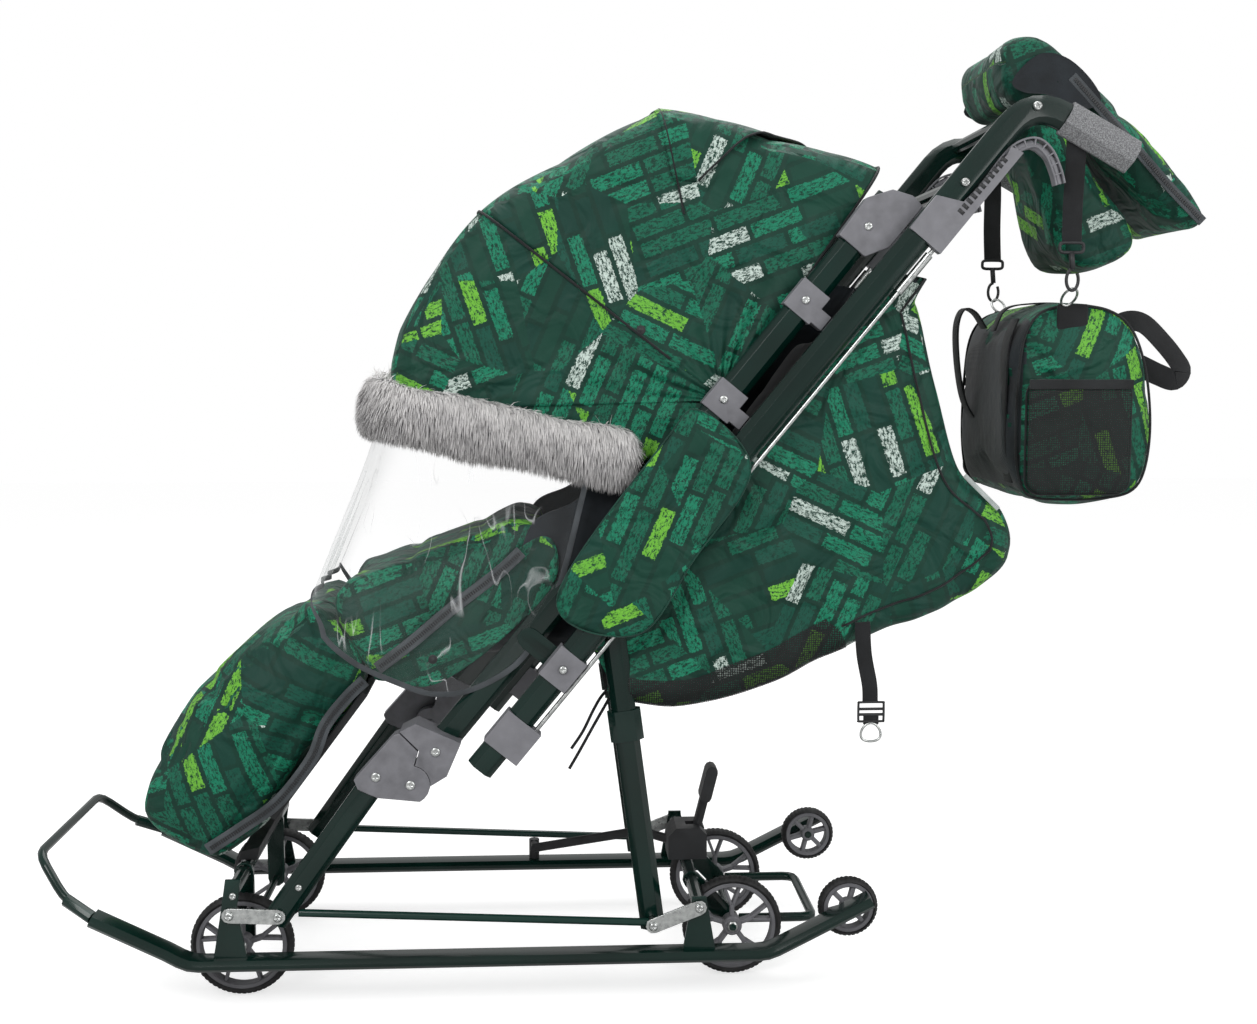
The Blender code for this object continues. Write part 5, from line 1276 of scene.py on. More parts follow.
# %% [markdown]
# ## Padded pieces
# The foot cover, the lap cover, the seat, the backrest and the muff are sewn bags of wadding. Each
# starts as a closed form from its side outline: the outline shrinks towards both ends like the edge of
# a pillow, and its side faces fill in towards a spine. A short cloth simulation then puffs it: its
# surface is rebuilt in even cells of about 6 mm, air pressure swells it while they resist stretching,
# and what comes out has the soft hollows and puckers of wadding. The motion is capped, so it keeps its
# size.

# %% Forms from outlines
def pillow(outline, half, edge, spine, bulge=0.006):
    """A closed form: rings of the outline, moved inwards near each end by a quarter circle of radius
    edge, then blended on the side faces towards the nearest spot of a spine line."""
    ring = smooth_line(outline, 150, closed=True)
    step = unit(np.roll(ring, -1, 0) - np.roll(ring, 1, 0))
    normal = np.stack([-step[:, 1], step[:, 0]], axis=1)
    if ((ring - ring.mean(0)) * normal).sum() > 0:
        normal = -normal
    spine = smooth_line(spine, 60)
    near = spine[np.linalg.norm(ring[:, None] - spine[None], axis=2).argmin(1)]
    grids = [stood(near + (ring + normal * edge - near) * share, -half - bulge * (1 - share ** 2))
             for share in np.linspace(0.05, 1.0, 12)]
    grids += [stood(ring + normal * edge * (1 - math.sin(angle)), -half + edge * (1 - math.cos(angle)))
              for angle in np.linspace(0, np.pi / 2, 7)[1:]]
    left = np.array(grids)
    body = np.array([stood(ring, y) for y in np.linspace(-half + edge, half - edge, 26)[1:-1]])
    return capped(np.concatenate([left, body, left[::-1] * np.array([1, -1, 1])]))


SWELL_FRAMES = 20
AIR_PRESSURE = 4.0
STRETCH_STIFFNESS = 22
BENDING_STIFFNESS = 0.4


def swollen(piece, mesh, cap):
    """Run the cloth solver on a piece, cap how far each point moved, and give its new mesh."""
    cloth = piece.modifiers.new("cloth", "CLOTH")
    cloth.settings.use_pressure = True
    cloth.settings.uniform_pressure_force = AIR_PRESSURE
    cloth.settings.quality = 5
    cloth.settings.tension_stiffness = STRETCH_STIFFNESS
    cloth.settings.shear_stiffness = STRETCH_STIFFNESS
    cloth.settings.bending_stiffness = BENDING_STIFFNESS
    cloth.settings.effector_weights.gravity = 0.0
    cloth.point_cache.frame_start = 1
    cloth.point_cache.frame_end = SWELL_FRAMES
    start = read(mesh.vertices, "co")
    for number in range(1, SWELL_FRAMES + 1):
        scene.frame_set(number)
    mesh = frozen(piece)
    scene.frame_set(1)
    moved = read(mesh.vertices, "co") - start
    far = np.linalg.norm(moved, axis=1, keepdims=True)
    moved *= np.minimum(1.0, cap / np.maximum(far, 1e-9))
    mesh.vertices.foreach_set("co", (start + moved).astype(np.float32).ravel())
    return mesh


def puffed(name, grid, material, body, line, voxel=0.006, cap=0.005, channels=None):
    """Rebuild a form in even cells, swell it with the cloth solver for 20 frames, press sewn
    channels in, and lay the cloth map on the result."""
    piece = bpy.data.objects.new(name, grid_mesh(name, grid, False, True))
    scene.collection.objects.link(piece)
    cells = piece.modifiers.new("even_cells", "REMESH")
    cells.mode = "VOXEL"
    cells.voxel_size = voxel
    mesh = frozen(piece)
    mesh = swollen(piece, mesh, cap)
    if channels is not None:
        points = quilted(read(mesh.vertices, "co"), *channels)
        mesh.vertices.foreach_set("co", points.astype(np.float32).ravel())
    mesh.update()
    mesh.shade_smooth()
    mesh.materials.clear()
    mesh.materials.append(material)
    cloth_map(mesh, along_line(line))
    finer = piece.modifiers.new("softer", "SUBSURF")
    finer.levels = 1
    finer.render_levels = 1
    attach(piece, body)
    return piece


def frozen(piece):
    """Apply what the modifiers make to the mesh itself."""
    bpy.context.view_layer.update()
    graph = bpy.context.evaluated_depsgraph_get()
    mesh = bpy.data.meshes.new_from_object(piece.evaluated_get(graph))
    mesh.name = piece.name
    piece.modifiers.clear()
    piece.data = mesh
    return mesh


def quilted(points, lines, depth, width):
    """Press sewn channels into a form: near each (x, z) line the surface sinks along the way to the
    form's middle, by depth times a bell curve of the distance."""
    inward = points.mean(0) - points
    inward[:, 1] = 0
    inward /= np.maximum(np.linalg.norm(inward, axis=1, keepdims=True), 1e-9)
    for a, b in np.array(lines, float):
        way = b - a
        share = np.clip(((points[:, (0, 2)] - a) @ way) / (way @ way), 0, 1)
        gap = np.linalg.norm(points[:, (0, 2)] - a - share[:, None] * way, axis=1)
        points = points + inward * (depth * np.exp(-(gap / width) ** 2))[:, None]
    return points


# %% Foot cover and lap cover
COVER_HALF = 0.148
FOOT_OUTLINE = [(-0.352, 0.436), (-0.409, 0.531), (-0.446, 0.508), (-0.500, 0.478), (-0.545, 0.440),
                (-0.590, 0.392), (-0.630, 0.325), (-0.655, 0.262), (-0.648, 0.232), (-0.616, 0.207),
                (-0.584, 0.189), (-0.552, 0.183), (-0.518, 0.210), (-0.489, 0.246), (-0.420, 0.341)]
FOOT_SPINE = [(-0.405, 0.462), (-0.445, 0.430), (-0.500, 0.374), (-0.550, 0.310), (-0.586, 0.240)]
LAP_OUTLINE = [(-0.340, 0.437), (-0.397, 0.534), (-0.345, 0.564), (-0.280, 0.588), (-0.200, 0.617),
               (-0.140, 0.643), (-0.113, 0.636), (-0.116, 0.612), (-0.155, 0.560), (-0.193, 0.519),
               (-0.244, 0.517), (-0.270, 0.508), (-0.288, 0.470), (-0.305, 0.448)]
LAP_SPINE = [(-0.352, 0.495), (-0.315, 0.525), (-0.268, 0.548), (-0.210, 0.570), (-0.150, 0.612)]
FOOT_CHANNELS = [((-0.470, 0.530), (-0.430, 0.440)), ((-0.575, 0.430), (-0.500, 0.360)),
                 ((-0.660, 0.320), (-0.560, 0.270))]
LAP_CHANNELS = [((-0.300, 0.600), (-0.290, 0.500)), ((-0.200, 0.640), (-0.180, 0.540))]
foot = puffed("foot_cover_cloth", pillow(FOOT_OUTLINE, COVER_HALF, 0.022, FOOT_SPINE), PRINT,
              "footrest", smooth_line(FOOT_OUTLINE, 120, closed=True), 0.0055, 0.009,
              channels=(FOOT_CHANNELS, 0.006, 0.011))
stands_for("foot_cover")
lap = puffed("lap_cover_cloth", pillow(LAP_OUTLINE, COVER_HALF, 0.020, LAP_SPINE), PRINT,
             "seat_frame", smooth_line(LAP_OUTLINE, 120, closed=True), 0.0055, 0.008,
             channels=(LAP_CHANNELS, 0.005, 0.010))
stands_for("lap_cover")
print("covers:", len(foot.data.vertices), len(lap.data.vertices))


# %% The zip band round the cover
TOOTH_PITCH = 0.0034
TOOTH_HALF = np.array([0.0026, 0.0010])
TOOTH_HEIGHT = 0.0018
ZIP_THICK = 0.003
CORNERS = np.array([[-1, -1], [1, -1], [1, 1], [-1, 1]])
BOX_FACES = np.array([[0, 1, 2, 3], [4, 5, 6, 7], [0, 1, 5, 4], [1, 2, 6, 5], [2, 3, 7, 6],
                      [3, 0, 4, 7]])


def side_zip(name, line, half, width, body):
    """A stitched band on both side faces: a ribbon along its line, with zip teeth as short bars
    across its middle."""
    line = smooth_line(line, 90)
    step = steps_of(line)[0]
    run = lengths(line)
    at = np.arange(0.006, run[-1] - 0.004, TOOTH_PITCH)
    centre = at_lengths(line, at)
    way = np.stack([np.interp(at, run, step[:, k]) for k in (0, 1)], axis=1)
    square = np.stack([-way[:, 1], way[:, 0]], axis=1)
    flat = (centre[:, None] + square[:, None] * CORNERS[None, :, :1] * TOOTH_HALF[0]
            + way[:, None] * CORNERS[None, :, 1:] * TOOTH_HALF[1])
    quads = (BOX_FACES[None] + 8 * np.arange(len(at))[:, None, None]).reshape(-1, 4)
    for side, sign in SIDES:
        side_tape(f"{name}_{side}", line, sign * half, sign, width, ZIP_THICK, BINDING, body)
        low = stood(flat, sign * (half + 0.001))
        high = low + np.array([0, sign * TOOTH_HEIGHT, 0])
        points = np.concatenate([low, high], axis=1).reshape(-1, 3)
        link(f"{name}_teeth_{side}", put_mesh(f"{name}_teeth_{side}", points, quads, smooth=False),
             BLACK_NYLON, body)


side_zip("foot_zip", [(-0.565, 0.203), (-0.520, 0.232), (-0.470, 0.268), (-0.425, 0.325),
                      (-0.405, 0.372), (-0.375, 0.410), (-0.352, 0.432)], COVER_HALF + 0.0075, 0.017,
         "footrest")
side_zip("lap_zip", [(-0.335, 0.448), (-0.290, 0.482), (-0.235, 0.528), (-0.175, 0.574),
                     (-0.142, 0.604)], COVER_HALF + 0.0075, 0.017, "seat_frame")

# %% Sides of the seat under the shield
LAP_SIDE = [(-0.338, 0.444), (-0.235, 0.534), (-0.142, 0.610), (-0.104, 0.622), (-0.092, 0.585),
            (-0.108, 0.545), (-0.150, 0.503), (-0.205, 0.456), (-0.262, 0.424), (-0.308, 0.428)]
SEAT_SIDE = [(-0.128, 0.640), (-0.075, 0.668), (-0.035, 0.697), (0.000, 0.712), (0.026, 0.712),
             (-0.010, 0.640), (-0.060, 0.575), (-0.105, 0.540), (-0.145, 0.512), (-0.150, 0.560)]


def lap_place(flat, share):
    """The cloth beside the lap, with slanting ripples."""
    return COVER_HALF + 0.0045 + 0.0022 * np.sin(flat[..., 0] * 70 - flat[..., 1] * 40)


def seat_place(flat, share):
    """The lining beside the seat, with upright ripples."""
    return COVER_HALF + 0.0010 + 0.0010 * np.sin(flat[..., 0] * 60)


for side, sign in SIDES:
    side_sheet(f"lap_side_{side}", LAP_SIDE, lambda *at: sign * lap_place(*at), "seat_frame")
    side_sheet(f"seat_side_{side}", SEAT_SIDE, lambda *at: sign * seat_place(*at), "seat_frame", 0.0020,
               LINING)
print("seat sides: 4")

# %% Seat and backrest
(_, _, seat_z), (_, seat_half, _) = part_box("seat_cushion")
SEAT_SECTION = [(-0.252, 0.004), (-0.120, 0.002), (0.012, 0.004), (0.020, 0.020), (0.012, 0.044),
                (-0.120, 0.049), (-0.240, 0.045), (-0.256, 0.026)]
SEAT_OUTLINE = [(x, seat_z + height) for x, height in SEAT_SECTION]
BACK_LOW = np.array([0.040, 0.530])
BACK_HIGH = np.array([0.285, 0.872])
back_way = unit(BACK_HIGH - BACK_LOW)
back_out = np.array([back_way[1], -back_way[0]])


def beside(along, out):
    """A spot at a share of the backrest's length and a distance behind its middle."""
    return tuple(BACK_LOW + (BACK_HIGH - BACK_LOW) * along + back_out * out)


BACK_OUTLINE = [beside(*spot) for spot in (
    (0.0, -0.016), (0.25, -0.019), (0.5, -0.020), (0.75, -0.019), (1.0, -0.016), (1.03, 0.0),
    (1.0, 0.016), (0.5, 0.016), (0.0, 0.016), (-0.025, 0.0))]
SEAT_SPINE = [(-0.23, seat_z + 0.025), (0.0, seat_z + 0.025)]
seat_form = pillow(SEAT_OUTLINE, seat_half - 0.001, 0.016, SEAT_SPINE)
seat = puffed("seat_pad", seat_form, LINING, "seat_frame", SEAT_OUTLINE)
stands_for("seat_cushion")
back_form = pillow(BACK_OUTLINE, 0.127, 0.014, [beside(0.03, 0.0), beside(0.97, 0.0)])
channels = [(beside(s, -0.03), beside(s, 0.0)) for s in (0.2, 0.4, 0.6, 0.8)]
rest = puffed("backrest_pad", back_form, LINING, "back_cushion", BACK_OUTLINE,
              channels=(channels, 0.005, 0.009))
stands_for("backrest")
print("seat pads:", len(seat.data.vertices), len(rest.data.vertices))

# %% [markdown]
# ## Rear apron and side panels
# The apron hangs from the two back tubes and closes round the basket behind the seat: side, soft
# corner, back, soft corner, side. It is one sheet. Its lower line is the curve in the photograph, and
# from the top corner the cloth falls in long slanting folds. Small side panels are stretched from the
# seat over both tubes, and they carry the same print.

# %% Apron
APRON_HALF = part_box("rear_apron")[1][1] - 0.0004
BACK_LINE = smooth_line([(0.366, 0.940), (0.385, 0.930), (0.412, 0.826), (0.446, 0.716),
                         (0.486, 0.676), (0.506, 0.658), (0.520, 0.628), (0.521, 0.602),
                         (0.507, 0.576), (0.441, 0.528), (0.320, 0.482), (0.227, 0.438),
                         (0.147, 0.406), (0.067, 0.392), (-0.030, 0.405)], 150)
FRONT_LINE = np.linspace(on_tube(0.918, 0.050), on_tube(0.300, 0.050), 150)
APRON_CORNER = 0.028
APRON_TOP = np.array([0.372, 0.935])
APRON_CENTRE = (0.20, 0.0, 0.66)
BACK_SAG = 0.006
DEEP_FOLD = 0.0105
FINE_FOLD = 0.0035


def apron():
    """For each station along both lines: the side runs from the front line to the back line, a
    quarter circle turns the corner, and the back crosses over. Folds on the sides are sines whose
    lines fan out from the top corner, and they only go inwards; the back sags inwards between the
    corners."""
    inward = steps_of(BACK_LINE)[1]
    inward = inward * np.sign((inward * (FRONT_LINE - BACK_LINE)).sum(1, keepdims=True))
    inner = BACK_LINE + inward * APRON_CORNER
    count = len(BACK_LINE)
    s = np.linspace(0, 1, 44)[None, :, None]
    side = FRONT_LINE[:, None] * (1 - s) + inner[:, None] * s
    turn = np.linspace(0, np.pi / 2, 9)[None, 1:, None]
    bend = inner[:, None] - inward[:, None] * APRON_CORNER * np.sin(turn)
    bend_y = -APRON_HALF + APRON_CORNER - APRON_CORNER * np.cos(turn[..., 0])
    across = np.linspace(1, 0, 30)[None, 1:]
    ripple = (0.4 + 0.6 * np.sin(np.linspace(0, 12, count)) ** 2)[:, None]
    back = BACK_LINE[:, None] + inward[:, None] * (BACK_SAG * (1 - across ** 2) * ripple)[..., None]
    back_y = -(APRON_HALF - APRON_CORNER) * across
    flat = np.concatenate([side, bend, back], axis=1)
    y = np.concatenate([np.broadcast_to(part, (count, across_count)) for part, across_count
                        in ((-APRON_HALF, 44), (bend_y, 8), (back_y, 29))], axis=1)
    ray = flat - APRON_TOP
    angle = np.arctan2(ray[..., 1], ray[..., 0])
    far = np.linalg.norm(ray, axis=-1)
    fold = 0.5 - 0.5 * np.cos(angle * 26 + 1.4 * np.sin(far * 19))
    second = 0.5 - 0.5 * np.cos(angle * 61 + far * 14)
    grow = np.clip(far / 0.42, 0, 1)
    rim_share = np.minimum(np.linspace(0, 1, flat.shape[1])[None] * 8, 1)
    on_side = np.clip((-y - (APRON_HALF - 2 * APRON_CORNER)) / APRON_CORNER, 0, 1)
    y = y + (DEEP_FOLD * fold + FINE_FOLD * second) * grow * rim_share * on_side
    grid = stood(flat, y)
    return np.concatenate([grid, grid[:, -2::-1] * np.array([1, -1, 1])], axis=1)


apron_grid = apron()
apron_cloth = lined("apron_cloth", grid_mesh("apron_cloth", apron_grid), APRON_CENTRE, BACK_LINE, PRINT,
                    LINING, "seat_frame", 0.0012)
stands_for("rear_apron")
run = float(lengths(BACK_LINE)[-1])
print("apron flat size", round(flat_area(apron_grid) / run, 3), "by", round(run, 3), "m")


def lifted(grid, centre, lift):
    """A grid moved off its own surface: every point steps along its normal, away from a centre."""
    normal = np.cross(np.gradient(grid, axis=0), np.gradient(grid, axis=1))
    normal /= np.maximum(np.linalg.norm(normal, axis=-1, keepdims=True), 1e-12)
    normal *= np.sign(((grid - np.asarray(centre)) * normal).sum())
    return grid + normal * lift


for side, sign in SIDES:
    band = lifted(apron_grid[98:150, 39:53], APRON_CENTRE, 0.0013) * np.array([1, -sign, 1])
    mesh_sheet = grid_mesh(f"basket_mesh_{side}", band)
    face_away(mesh_sheet, APRON_CENTRE)
    cloth_map(mesh_sheet, along_line(BACK_LINE))
    link(f"basket_mesh_{side}", mesh_sheet, MESH, "seat_frame")
stripe = smooth_line([(0.4531, 0.7093), (0.4994, 0.6643)], 12) - 0.004
for side, sign in SIDES:
    edge = apron_grid[:, 42] * np.array([1, -sign, 1]) + np.array([0, sign * 0.0012, 0])
    cord_edge(f"apron_piping_{side}", edge[2:98], 0.0016, BLACK_BINDING, "seat_frame")
    side_tape(f"reflective_{side}", stripe, sign * (APRON_HALF - 0.003), sign, 0.0065, 0.0026,
              REFLECTIVE, "seat_frame")

# %% Side panels over the tubes
PANEL = [(0.045, 0.753), (0.092, 0.793), (0.158, 0.716), (0.085, 0.600), (0.010, 0.500), (-0.095, 0.548)]
PANEL_PLACE = 0.2090


def panel_place(flat, share):
    """The panel stands proudest where the tubes press it from inside (a bell curve across them), with
    fine rays of tension from its lower corner."""
    out = ((flat - HINGE) * OFF_TUBE).sum(-1)
    ray = np.arctan2(flat[..., 1] - 0.50, flat[..., 0] - 0.06)
    return (PANEL_PLACE + 0.0022 * np.exp(-(out / 0.018) ** 2)
            + 0.0014 * (0.5 + 0.5 * np.sin(ray * 34)) * share)


for side, sign in SIDES:
    ring = side_sheet(f"side_panel_{side}", PANEL, lambda *at: sign * panel_place(*at), "seat_frame")
    cord_edge(f"side_panel_edge_{side}", closed_path(stood(ring, sign * (PANEL_PLACE + 0.0008))), 0.0010,
              GREEN_LINING, "seat_frame")
print("side panels: 2")

# %% Basket strap with its buckle
STRAP_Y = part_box("rear_strap")[0][1]
STRAP_X = 0.3262
strap_line = smooth_line([(0.3130, 0.510), (0.3160, 0.465), (0.3235, 0.425), (0.3250, 0.400)], 30)
sway = 0.0008 * np.sin(np.linspace(0, 7, 30))
basket_strap = side_tape("basket_strap", strap_line, STRAP_Y + 0.0016 + sway, -1, 0.021, 0.0018,
                         WEBBING, "seat_frame")
stands_for("rear_strap")


def buckle(name, centre, width, height, thick):
    """A ladder buckle: a rounded frame carried round its outline, and two bars across it."""
    x, y, z = centre
    w, h = width / 2, height / 2
    outline = smooth_line([(w, -h * 0.9), (w, h * 0.9), (w * 0.9, h), (-w * 0.9, h), (-w, h * 0.9),
                           (-w, -h * 0.9), (-w * 0.9, -h), (w * 0.9, -h)], 72, closed=True)
    loop = closed_path(stood(outline + np.array([x, z]), y))
    parts = [bar_points(loop, round_profile(thick, thick * 0.8, thick * 0.25, 3))]
    for level in (0.30, -0.28):
        bar = np.array([[x - w, y, z + h * level], [x + w, y, z + h * level]])
        parts.append(bar_points(bar, round_profile(thick * 1.1, thick, thick * 0.3, 3)))
    return put_parts(name, parts, BLACK_NYLON, "seat_frame")


buckle("strap_buckle", (STRAP_X, STRAP_Y + 0.0016, 0.3880), 0.034, 0.026, 0.0036)
turn = np.linspace(0, 2 * np.pi, 40)
d_ring = np.stack([STRAP_X + 0.0135 * np.cos(turn), np.full(40, STRAP_Y + 0.0016),
                   0.3600 + 0.0125 * np.sin(turn) - 0.003 * np.cos(turn) ** 2], axis=1)
put_parts("strap_ring", [bar_points(np.concatenate([d_ring, d_ring[1:2]]), circle12 * 0.0017)], ZINC,
          "seat_frame")
end_line = np.stack([np.full(10, STRAP_X), np.linspace(0.385, 0.371, 10)], axis=1)
side_tape("strap_end", end_line, STRAP_Y + 0.0016, -1, 0.021, 0.0020, WEBBING, "seat_frame")
print("basket strap done")

# %% [markdown]
# ## Tie cords
# Two short ends of tie cord hang at the top of the rear leg, where the basket cover is tied on. A
# cord is a round profile carried along the line that it hangs in.

# %% Tie cords
TIE_DIAMETER = 0.0042
tie_lines = [[(-0.018, 0.424), (-0.034, 0.408), (-0.046, 0.388), (-0.060, 0.360), (-0.076, 0.336)],
             [(-0.016, 0.422), (-0.030, 0.396), (-0.046, 0.368), (-0.064, 0.336), (-0.079, 0.310)]]
for number, line in enumerate(tie_lines, 1):
    line = smooth_line(line, 40)
    path = stood(line, -0.150 - 0.006 * number + 0.002 * np.sin(np.linspace(0, 5, 40)))
    grid = capped(carried(path, circle12 * (TIE_DIAMETER / 2), across=(0.31, 0.9, 0.2)))
    tie = link(f"tie_cord_{number}", grid_mesh(f"tie_cord_{number}", grid, False, True), WEBBING,
               "seat_frame")

# %% [markdown]
# ## The apron and what is sewn to it
# When the frame folds, the hanging cloth can't keep its depth: it crumples towards the back tubes, where
# it is sewn on. Here the apron and all that is sewn to it only get meshes of their own.

# %% Own meshes of the apron pieces
on_apron = ["apron_cloth", "basket_strap", "strap_buckle", "strap_ring", "strap_end"]
for side, sign in SIDES:
    on_apron += [f"basket_mesh_{side}", f"apron_piping_{side}", f"reflective_{side}"]
for name in on_apron:
    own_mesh(bpy.data.objects[name])
print("pieces that crumple:", len(on_apron))

# %% [markdown]
# ## The bag
# The bag is a lofted shell: flat-sided, soft at its edges, and it sags a little at its base. Its form
# is the same pillow as the covers, puffed by the same cloth step. A pocket with a mesh face, a square
# of webbing that holds the hook ring, edge piping and two carry loops go on top. Two webbing straps
# with snap hooks hang it from the handle grips.

# %% Bag body
BAG_OUTLINE = [(0.552, 0.668), (0.600, 0.664), (0.655, 0.666), (0.694, 0.676), (0.712, 0.704),
               (0.719, 0.760), (0.714, 0.825), (0.701, 0.878), (0.682, 0.912), (0.655, 0.930),
               (0.620, 0.9365), (0.580, 0.935), (0.552, 0.922), (0.535, 0.890), (0.528, 0.830),
               (0.526, 0.760), (0.529, 0.712), (0.536, 0.684)]
BAG_HALF = 0.147
BAG_SPINE = [(0.622, 0.725), (0.622, 0.800), (0.622, 0.875)]
FACES_FORWARD = -0.75
bag_line = smooth_line(BAG_OUTLINE, 120, closed=True)
bag_form = pillow(BAG_OUTLINE, BAG_HALF, 0.026, BAG_SPINE, bulge=0.002)
bag = puffed("bag_cloth", bag_form, PRINT, "hang_bag", bag_line, cap=0.006)
bag.data.materials.append(LINING)
forward = read(bag.data.polygons, "normal")[:, 0] < FACES_FORWARD
bag.data.polygons.foreach_set("material_index", forward.astype(np.int32))
stands_for("bag")


def rounded_patch(name, centre, size, corner, y, lift, material, sag=0.0):
    """A flat soft rectangle on a side face of the bag: concentric rings of a rounded outline, with the
    middle standing proud by lift, and a skirt down to the cloth."""
    outline = round_profile(size[0], size[1], corner, 10)
    share = np.concatenate([[1.0, 1.0], np.linspace(0.96, 0.01, 16)])[:, None, None]
    flat = np.asarray(centre) + outline[None] * share
    out = lift * (1 - share[..., 0] ** 4 * 0.3)
    out[0] = 0.0
    out[1] = lift * 0.6
    wave = sag * np.sin(flat[..., 1] * 90 + flat[..., 0] * 40)
    grid = stood(flat, y + np.sign(y) * (out + wave * (share[..., 0] < 0.9)))
    mesh = grid_mesh(name, grid, False, True)
    face_away(mesh, (centre[0], 0.0, centre[1]))
    cloth_map(mesh, along_line([(centre[0], centre[1] - 1), (centre[0], centre[1] + 1)]))
    return link(name, mesh, material, "hang_bag")


POCKET = np.array([0.610, 0.7545])
POCKET_SIZE = (0.1414, 0.1515)
POCKET_LIFT = 0.011
pocket_top = np.array([[0.5393, 0.826], [0.6807, 0.826]])
pocket_rim = round_profile(0.1440, 0.1540, 0.021, 10) + POCKET
bag_rim = bag_line + (bag_line.mean(0) - bag_line) * 0.035
for side, sign in SIDES:
    face = sign * (BAG_HALF + 0.0035)
    for name, proud, material in (("bag_pocket", 0.0, PRINT), ("pocket_mesh", 0.0016, MESH)):
        rounded_patch(f"{name}_{side}", POCKET, POCKET_SIZE, 0.020, face + sign * proud, POCKET_LIFT,
                      material, 0.0006)
    side_tape(f"pocket_top_{side}", even(pocket_top, 12), face + sign * 0.0125, sign, 0.013, 0.003,
              BLACK_BINDING, "hang_bag")
    cord_edge(f"pocket_piping_{side}", closed_path(stood(pocket_rim, face + sign * 0.003)), 0.0016,
              BLACK_BINDING, "hang_bag")
    rounded_patch(f"hook_patch_{side}", (0.6000, 0.9135), (0.042, 0.040), 0.003,
                  sign * (BAG_HALF - 0.001), 0.004, WEBBING)
    cord_edge(f"bag_piping_{side}", closed_path(stood(bag_rim, sign * (BAG_HALF - 0.010))), 0.0018,
              BLACK_BINDING, "hang_bag")
zip_line = smooth_line([(0.536, 0.900), (0.552, 0.930), (0.590, 0.938), (0.640, 0.937),
                        (0.684, 0.926), (0.706, 0.892)], 60)
zip_out = stood(steps_of(zip_line)[1], 0.0)
tape("bag_zip", stood(zip_line, 0.0) + zip_out * 0.0012, 0.020, 0.0022, zip_out, BLACK_BINDING,
     "hang_bag")


# %% Carry loops and hanging straps
def webbing(name, line, width, y, body, across=(0.0, 1.0, 0.0), thick=0.0026):
    """A webbing strap along an (x, z) line: a thin rounded rectangle whose width runs across. With no
    across the strap leans: its width is square to the line and a little sideways."""
    line = smooth_line(line, 60)
    path = stood(line, y)
    if across is None:
        tangent = unit(np.gradient(path, axis=0))
        across = np.stack([-tangent[:, 2], 0.35 * np.ones(60), tangent[:, 0]], axis=1)
    grid = capped(carried(path, round_profile(width, thick, thick * 0.45, 3), across=across))
    return link(name, grid_mesh(name, grid, False, True, 45), WEBBING, body)


webbing("carry_loop_rear", [(0.664, 0.896), (0.688, 0.911), (0.712, 0.908), (0.740, 0.882),
                            (0.760, 0.858), (0.768, 0.843), (0.758, 0.831), (0.736, 0.838),
                            (0.706, 0.852)], 0.030, -0.112, "hang_bag", None)
webbing("carry_loop_front", [(0.536, 0.905), (0.520, 0.928), (0.503, 0.932), (0.494, 0.905),
                             (0.497, 0.850), (0.507, 0.800), (0.524, 0.770)], 0.030, 0.05, "hang_bag")
webbing("bag_front_strap", [(0.534, 0.690), (0.524, 0.740), (0.523, 0.820), (0.526, 0.880),
                            (0.538, 0.915)], 0.034, -0.095, "hang_bag")


def snap_hook(name, top, bottom, body):
    """A snap hook: a bar loop for the webbing, a swivel stem and an open hook, all round bar."""
    x, y, z = top
    turn = np.linspace(0, 2 * np.pi, 25)
    loop = np.stack([x + 0.016 * np.sign(np.cos(turn)) * np.abs(np.cos(turn)) ** 0.4, np.full(25, y),
                     z + 0.0065 * np.sign(np.sin(turn)) * np.abs(np.sin(turn)) ** 0.5], axis=1)
    neck = z - 0.006
    stem = np.array([[x, y, neck], [x + (bottom[0] - x) * 0.4, y, neck + (bottom[2] - z) * 0.4]])
    turn = np.linspace(np.pi / 2, np.pi / 2 + 1.72 * np.pi, 30)
    rise = (stem[1, 2] - bottom[2]) / 2
    hook = np.stack([stem[1, 0] + 0.0080 * np.cos(turn), np.full(30, y),
                     stem[1, 2] - rise + rise * np.sin(turn)], axis=1)
    bars = ((np.concatenate([loop, loop[1:2]]), 0.0023), (stem, 0.0038), (hook, 0.0022))
    return put_parts(name, [bar_points(path, circle12 * r) for path, r in bars], BLACK_NYLON, body)


STRAP_LOW = 0.182
for side, sign in SIDES:
    low, high = (np.array(v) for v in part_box(f"bag_strap_{side}"))
    y = (low[1] + high[1]) / 2
    middle = (low[0] + high[0]) / 2
    lower_y = sign * STRAP_LOW
    line = [(middle - 0.001, 1.182), (middle + 0.001, 1.120), (middle, 1.060), (middle + 0.001, 1.012)]
    strap = webbing(f"hang_strap_{side}", line, 0.0265, np.linspace(y, lower_y, 60), "hang_straps",
                    (1.0, 0.0, 0.0), 0.0024)
    stands_for(f"bag_strap_{side}")
    snap_hook(f"snap_hook_{side}", (middle + 0.001, lower_y, 1.006), (middle + 0.006, lower_y, 0.950),
              "hang_straps")
    turn = np.linspace(0, 2 * np.pi, 33)
    d = np.stack([middle + 0.006 + 0.0095 * np.cos(turn), np.full(33, lower_y),
                  0.9420 + 0.0105 * np.sin(turn)], axis=1)
    d[:, 1] += (sign * (BAG_HALF + 0.003) - lower_y) * np.clip((0.955 - d[:, 2]) / 0.022, 0, 1)
    put_parts(f"bag_ring_{side}", [bar_points(np.concatenate([d, d[1:2]]), circle12 * 0.0017)], ZINC,
              "hang_bag")
print("bag and straps done")

# %% [markdown]
# ## Hand muff
# The muff is a padded wrap over the handle: a long upper lobe, and a shorter one that hangs down
# behind the grips. Both are puffed with wadding, and the upper one is quilted. It has a dark mouth on
# each side, where the cloth opens round the handle, and a zip along it.

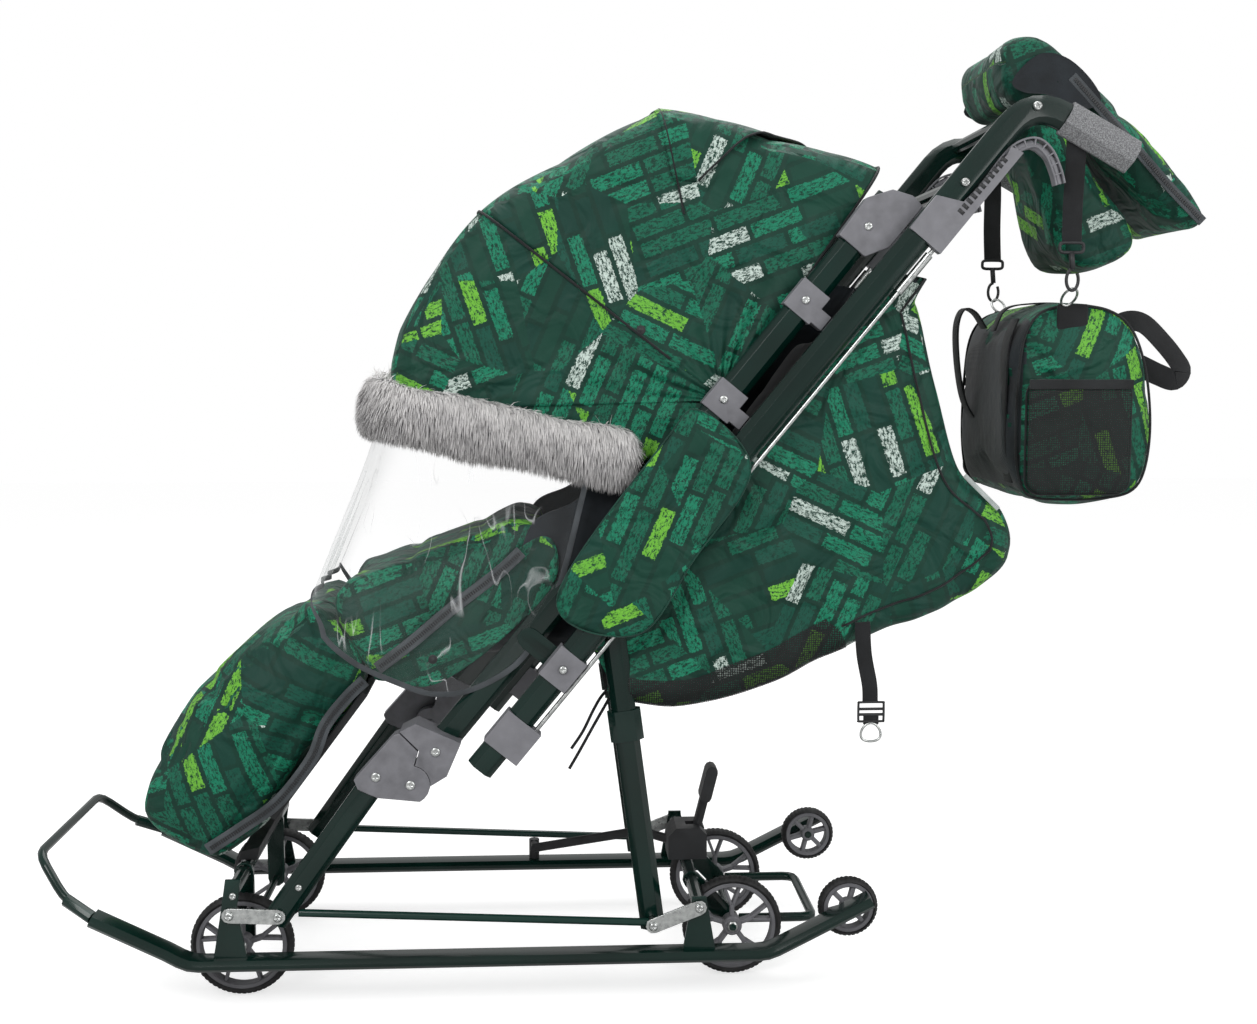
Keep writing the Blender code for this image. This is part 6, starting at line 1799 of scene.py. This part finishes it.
# %% Upper and lower lobe
MUFF_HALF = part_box("hand_muff")[1][1]
UPPER = [(0.503, 1.262), (0.510, 1.284), (0.532, 1.2925), (0.556, 1.2905), (0.592, 1.269),
         (0.640, 1.228), (0.682, 1.190), (0.722, 1.150), (0.758, 1.108), (0.785, 1.070),
         (0.7950, 1.050), (0.786, 1.036), (0.768, 1.035), (0.738, 1.058), (0.705, 1.092),
         (0.680, 1.124), (0.650, 1.157), (0.610, 1.190), (0.570, 1.206), (0.534, 1.2085),
         (0.512, 1.228)]
UPPER_SPINE = [(0.530, 1.262), (0.560, 1.256), (0.610, 1.222), (0.665, 1.172), (0.720, 1.110),
               (0.770, 1.058)]
UPPER_CHANNELS = [((0.590, 1.300), (0.600, 1.240)), ((0.690, 1.210), (0.660, 1.160)),
                  ((0.770, 1.120), (0.740, 1.080))]
LOWER = [(0.545, 1.188), (0.586, 1.190), (0.622, 1.152), (0.650, 1.112), (0.676, 1.078), (0.698, 1.048),
         (0.708, 1.020), (0.692, 1.000), (0.653, 0.987), (0.622, 0.991), (0.604, 1.018), (0.590, 1.062),
         (0.574, 1.115), (0.554, 1.155)]
LOWER_SPINE = [(0.578, 1.165), (0.602, 1.120), (0.624, 1.075), (0.642, 1.045), (0.654, 1.020)]
LOWER_HALF = 0.092
MOUTH = [(0.518, 1.228), (0.534, 1.252), (0.560, 1.268), (0.592, 1.262), (0.622, 1.238),
         (0.640, 1.210), (0.628, 1.196), (0.600, 1.200), (0.566, 1.213), (0.535, 1.216)]
muff = puffed("muff_upper_lobe", pillow(UPPER, MUFF_HALF - 0.002, 0.024, UPPER_SPINE, bulge=0.0), PRINT,
              "handle", smooth_line(UPPER, 120, closed=True),
              channels=(UPPER_CHANNELS, 0.005, 0.010))
stands_for("hand_muff")
lower = puffed("muff_lower_lobe", pillow(LOWER, LOWER_HALF, 0.018, LOWER_SPINE, bulge=0.0), PRINT,
               "handle", smooth_line(LOWER, 120, closed=True))
side_zip("muff_zip", [(0.600, 1.238), (0.640, 1.196), (0.690, 1.144), (0.735, 1.096), (0.786, 1.046)],
         MUFF_HALF - 0.0005, 0.014, "handle")
oval = smooth_line(MOUTH, 60, closed=True)
share = np.linspace(1, 0.02, 12)[:, None]
proud = np.where(share > 0.93, 0.0030, 0.0022)
for side, sign in SIDES:
    flat = oval.mean(0) + (oval - oval.mean(0)) * share[..., None]
    mesh = grid_mesh(f"muff_mouth_{side}", stood(flat, sign * (MUFF_HALF - 0.0020 + proud)), False, True)
    face_away(mesh, (0.6, 0.0, 1.2))
    link(f"muff_mouth_{side}", mesh, LINING, "handle")
print("muff:", len(muff.data.vertices), len(lower.data.vertices))
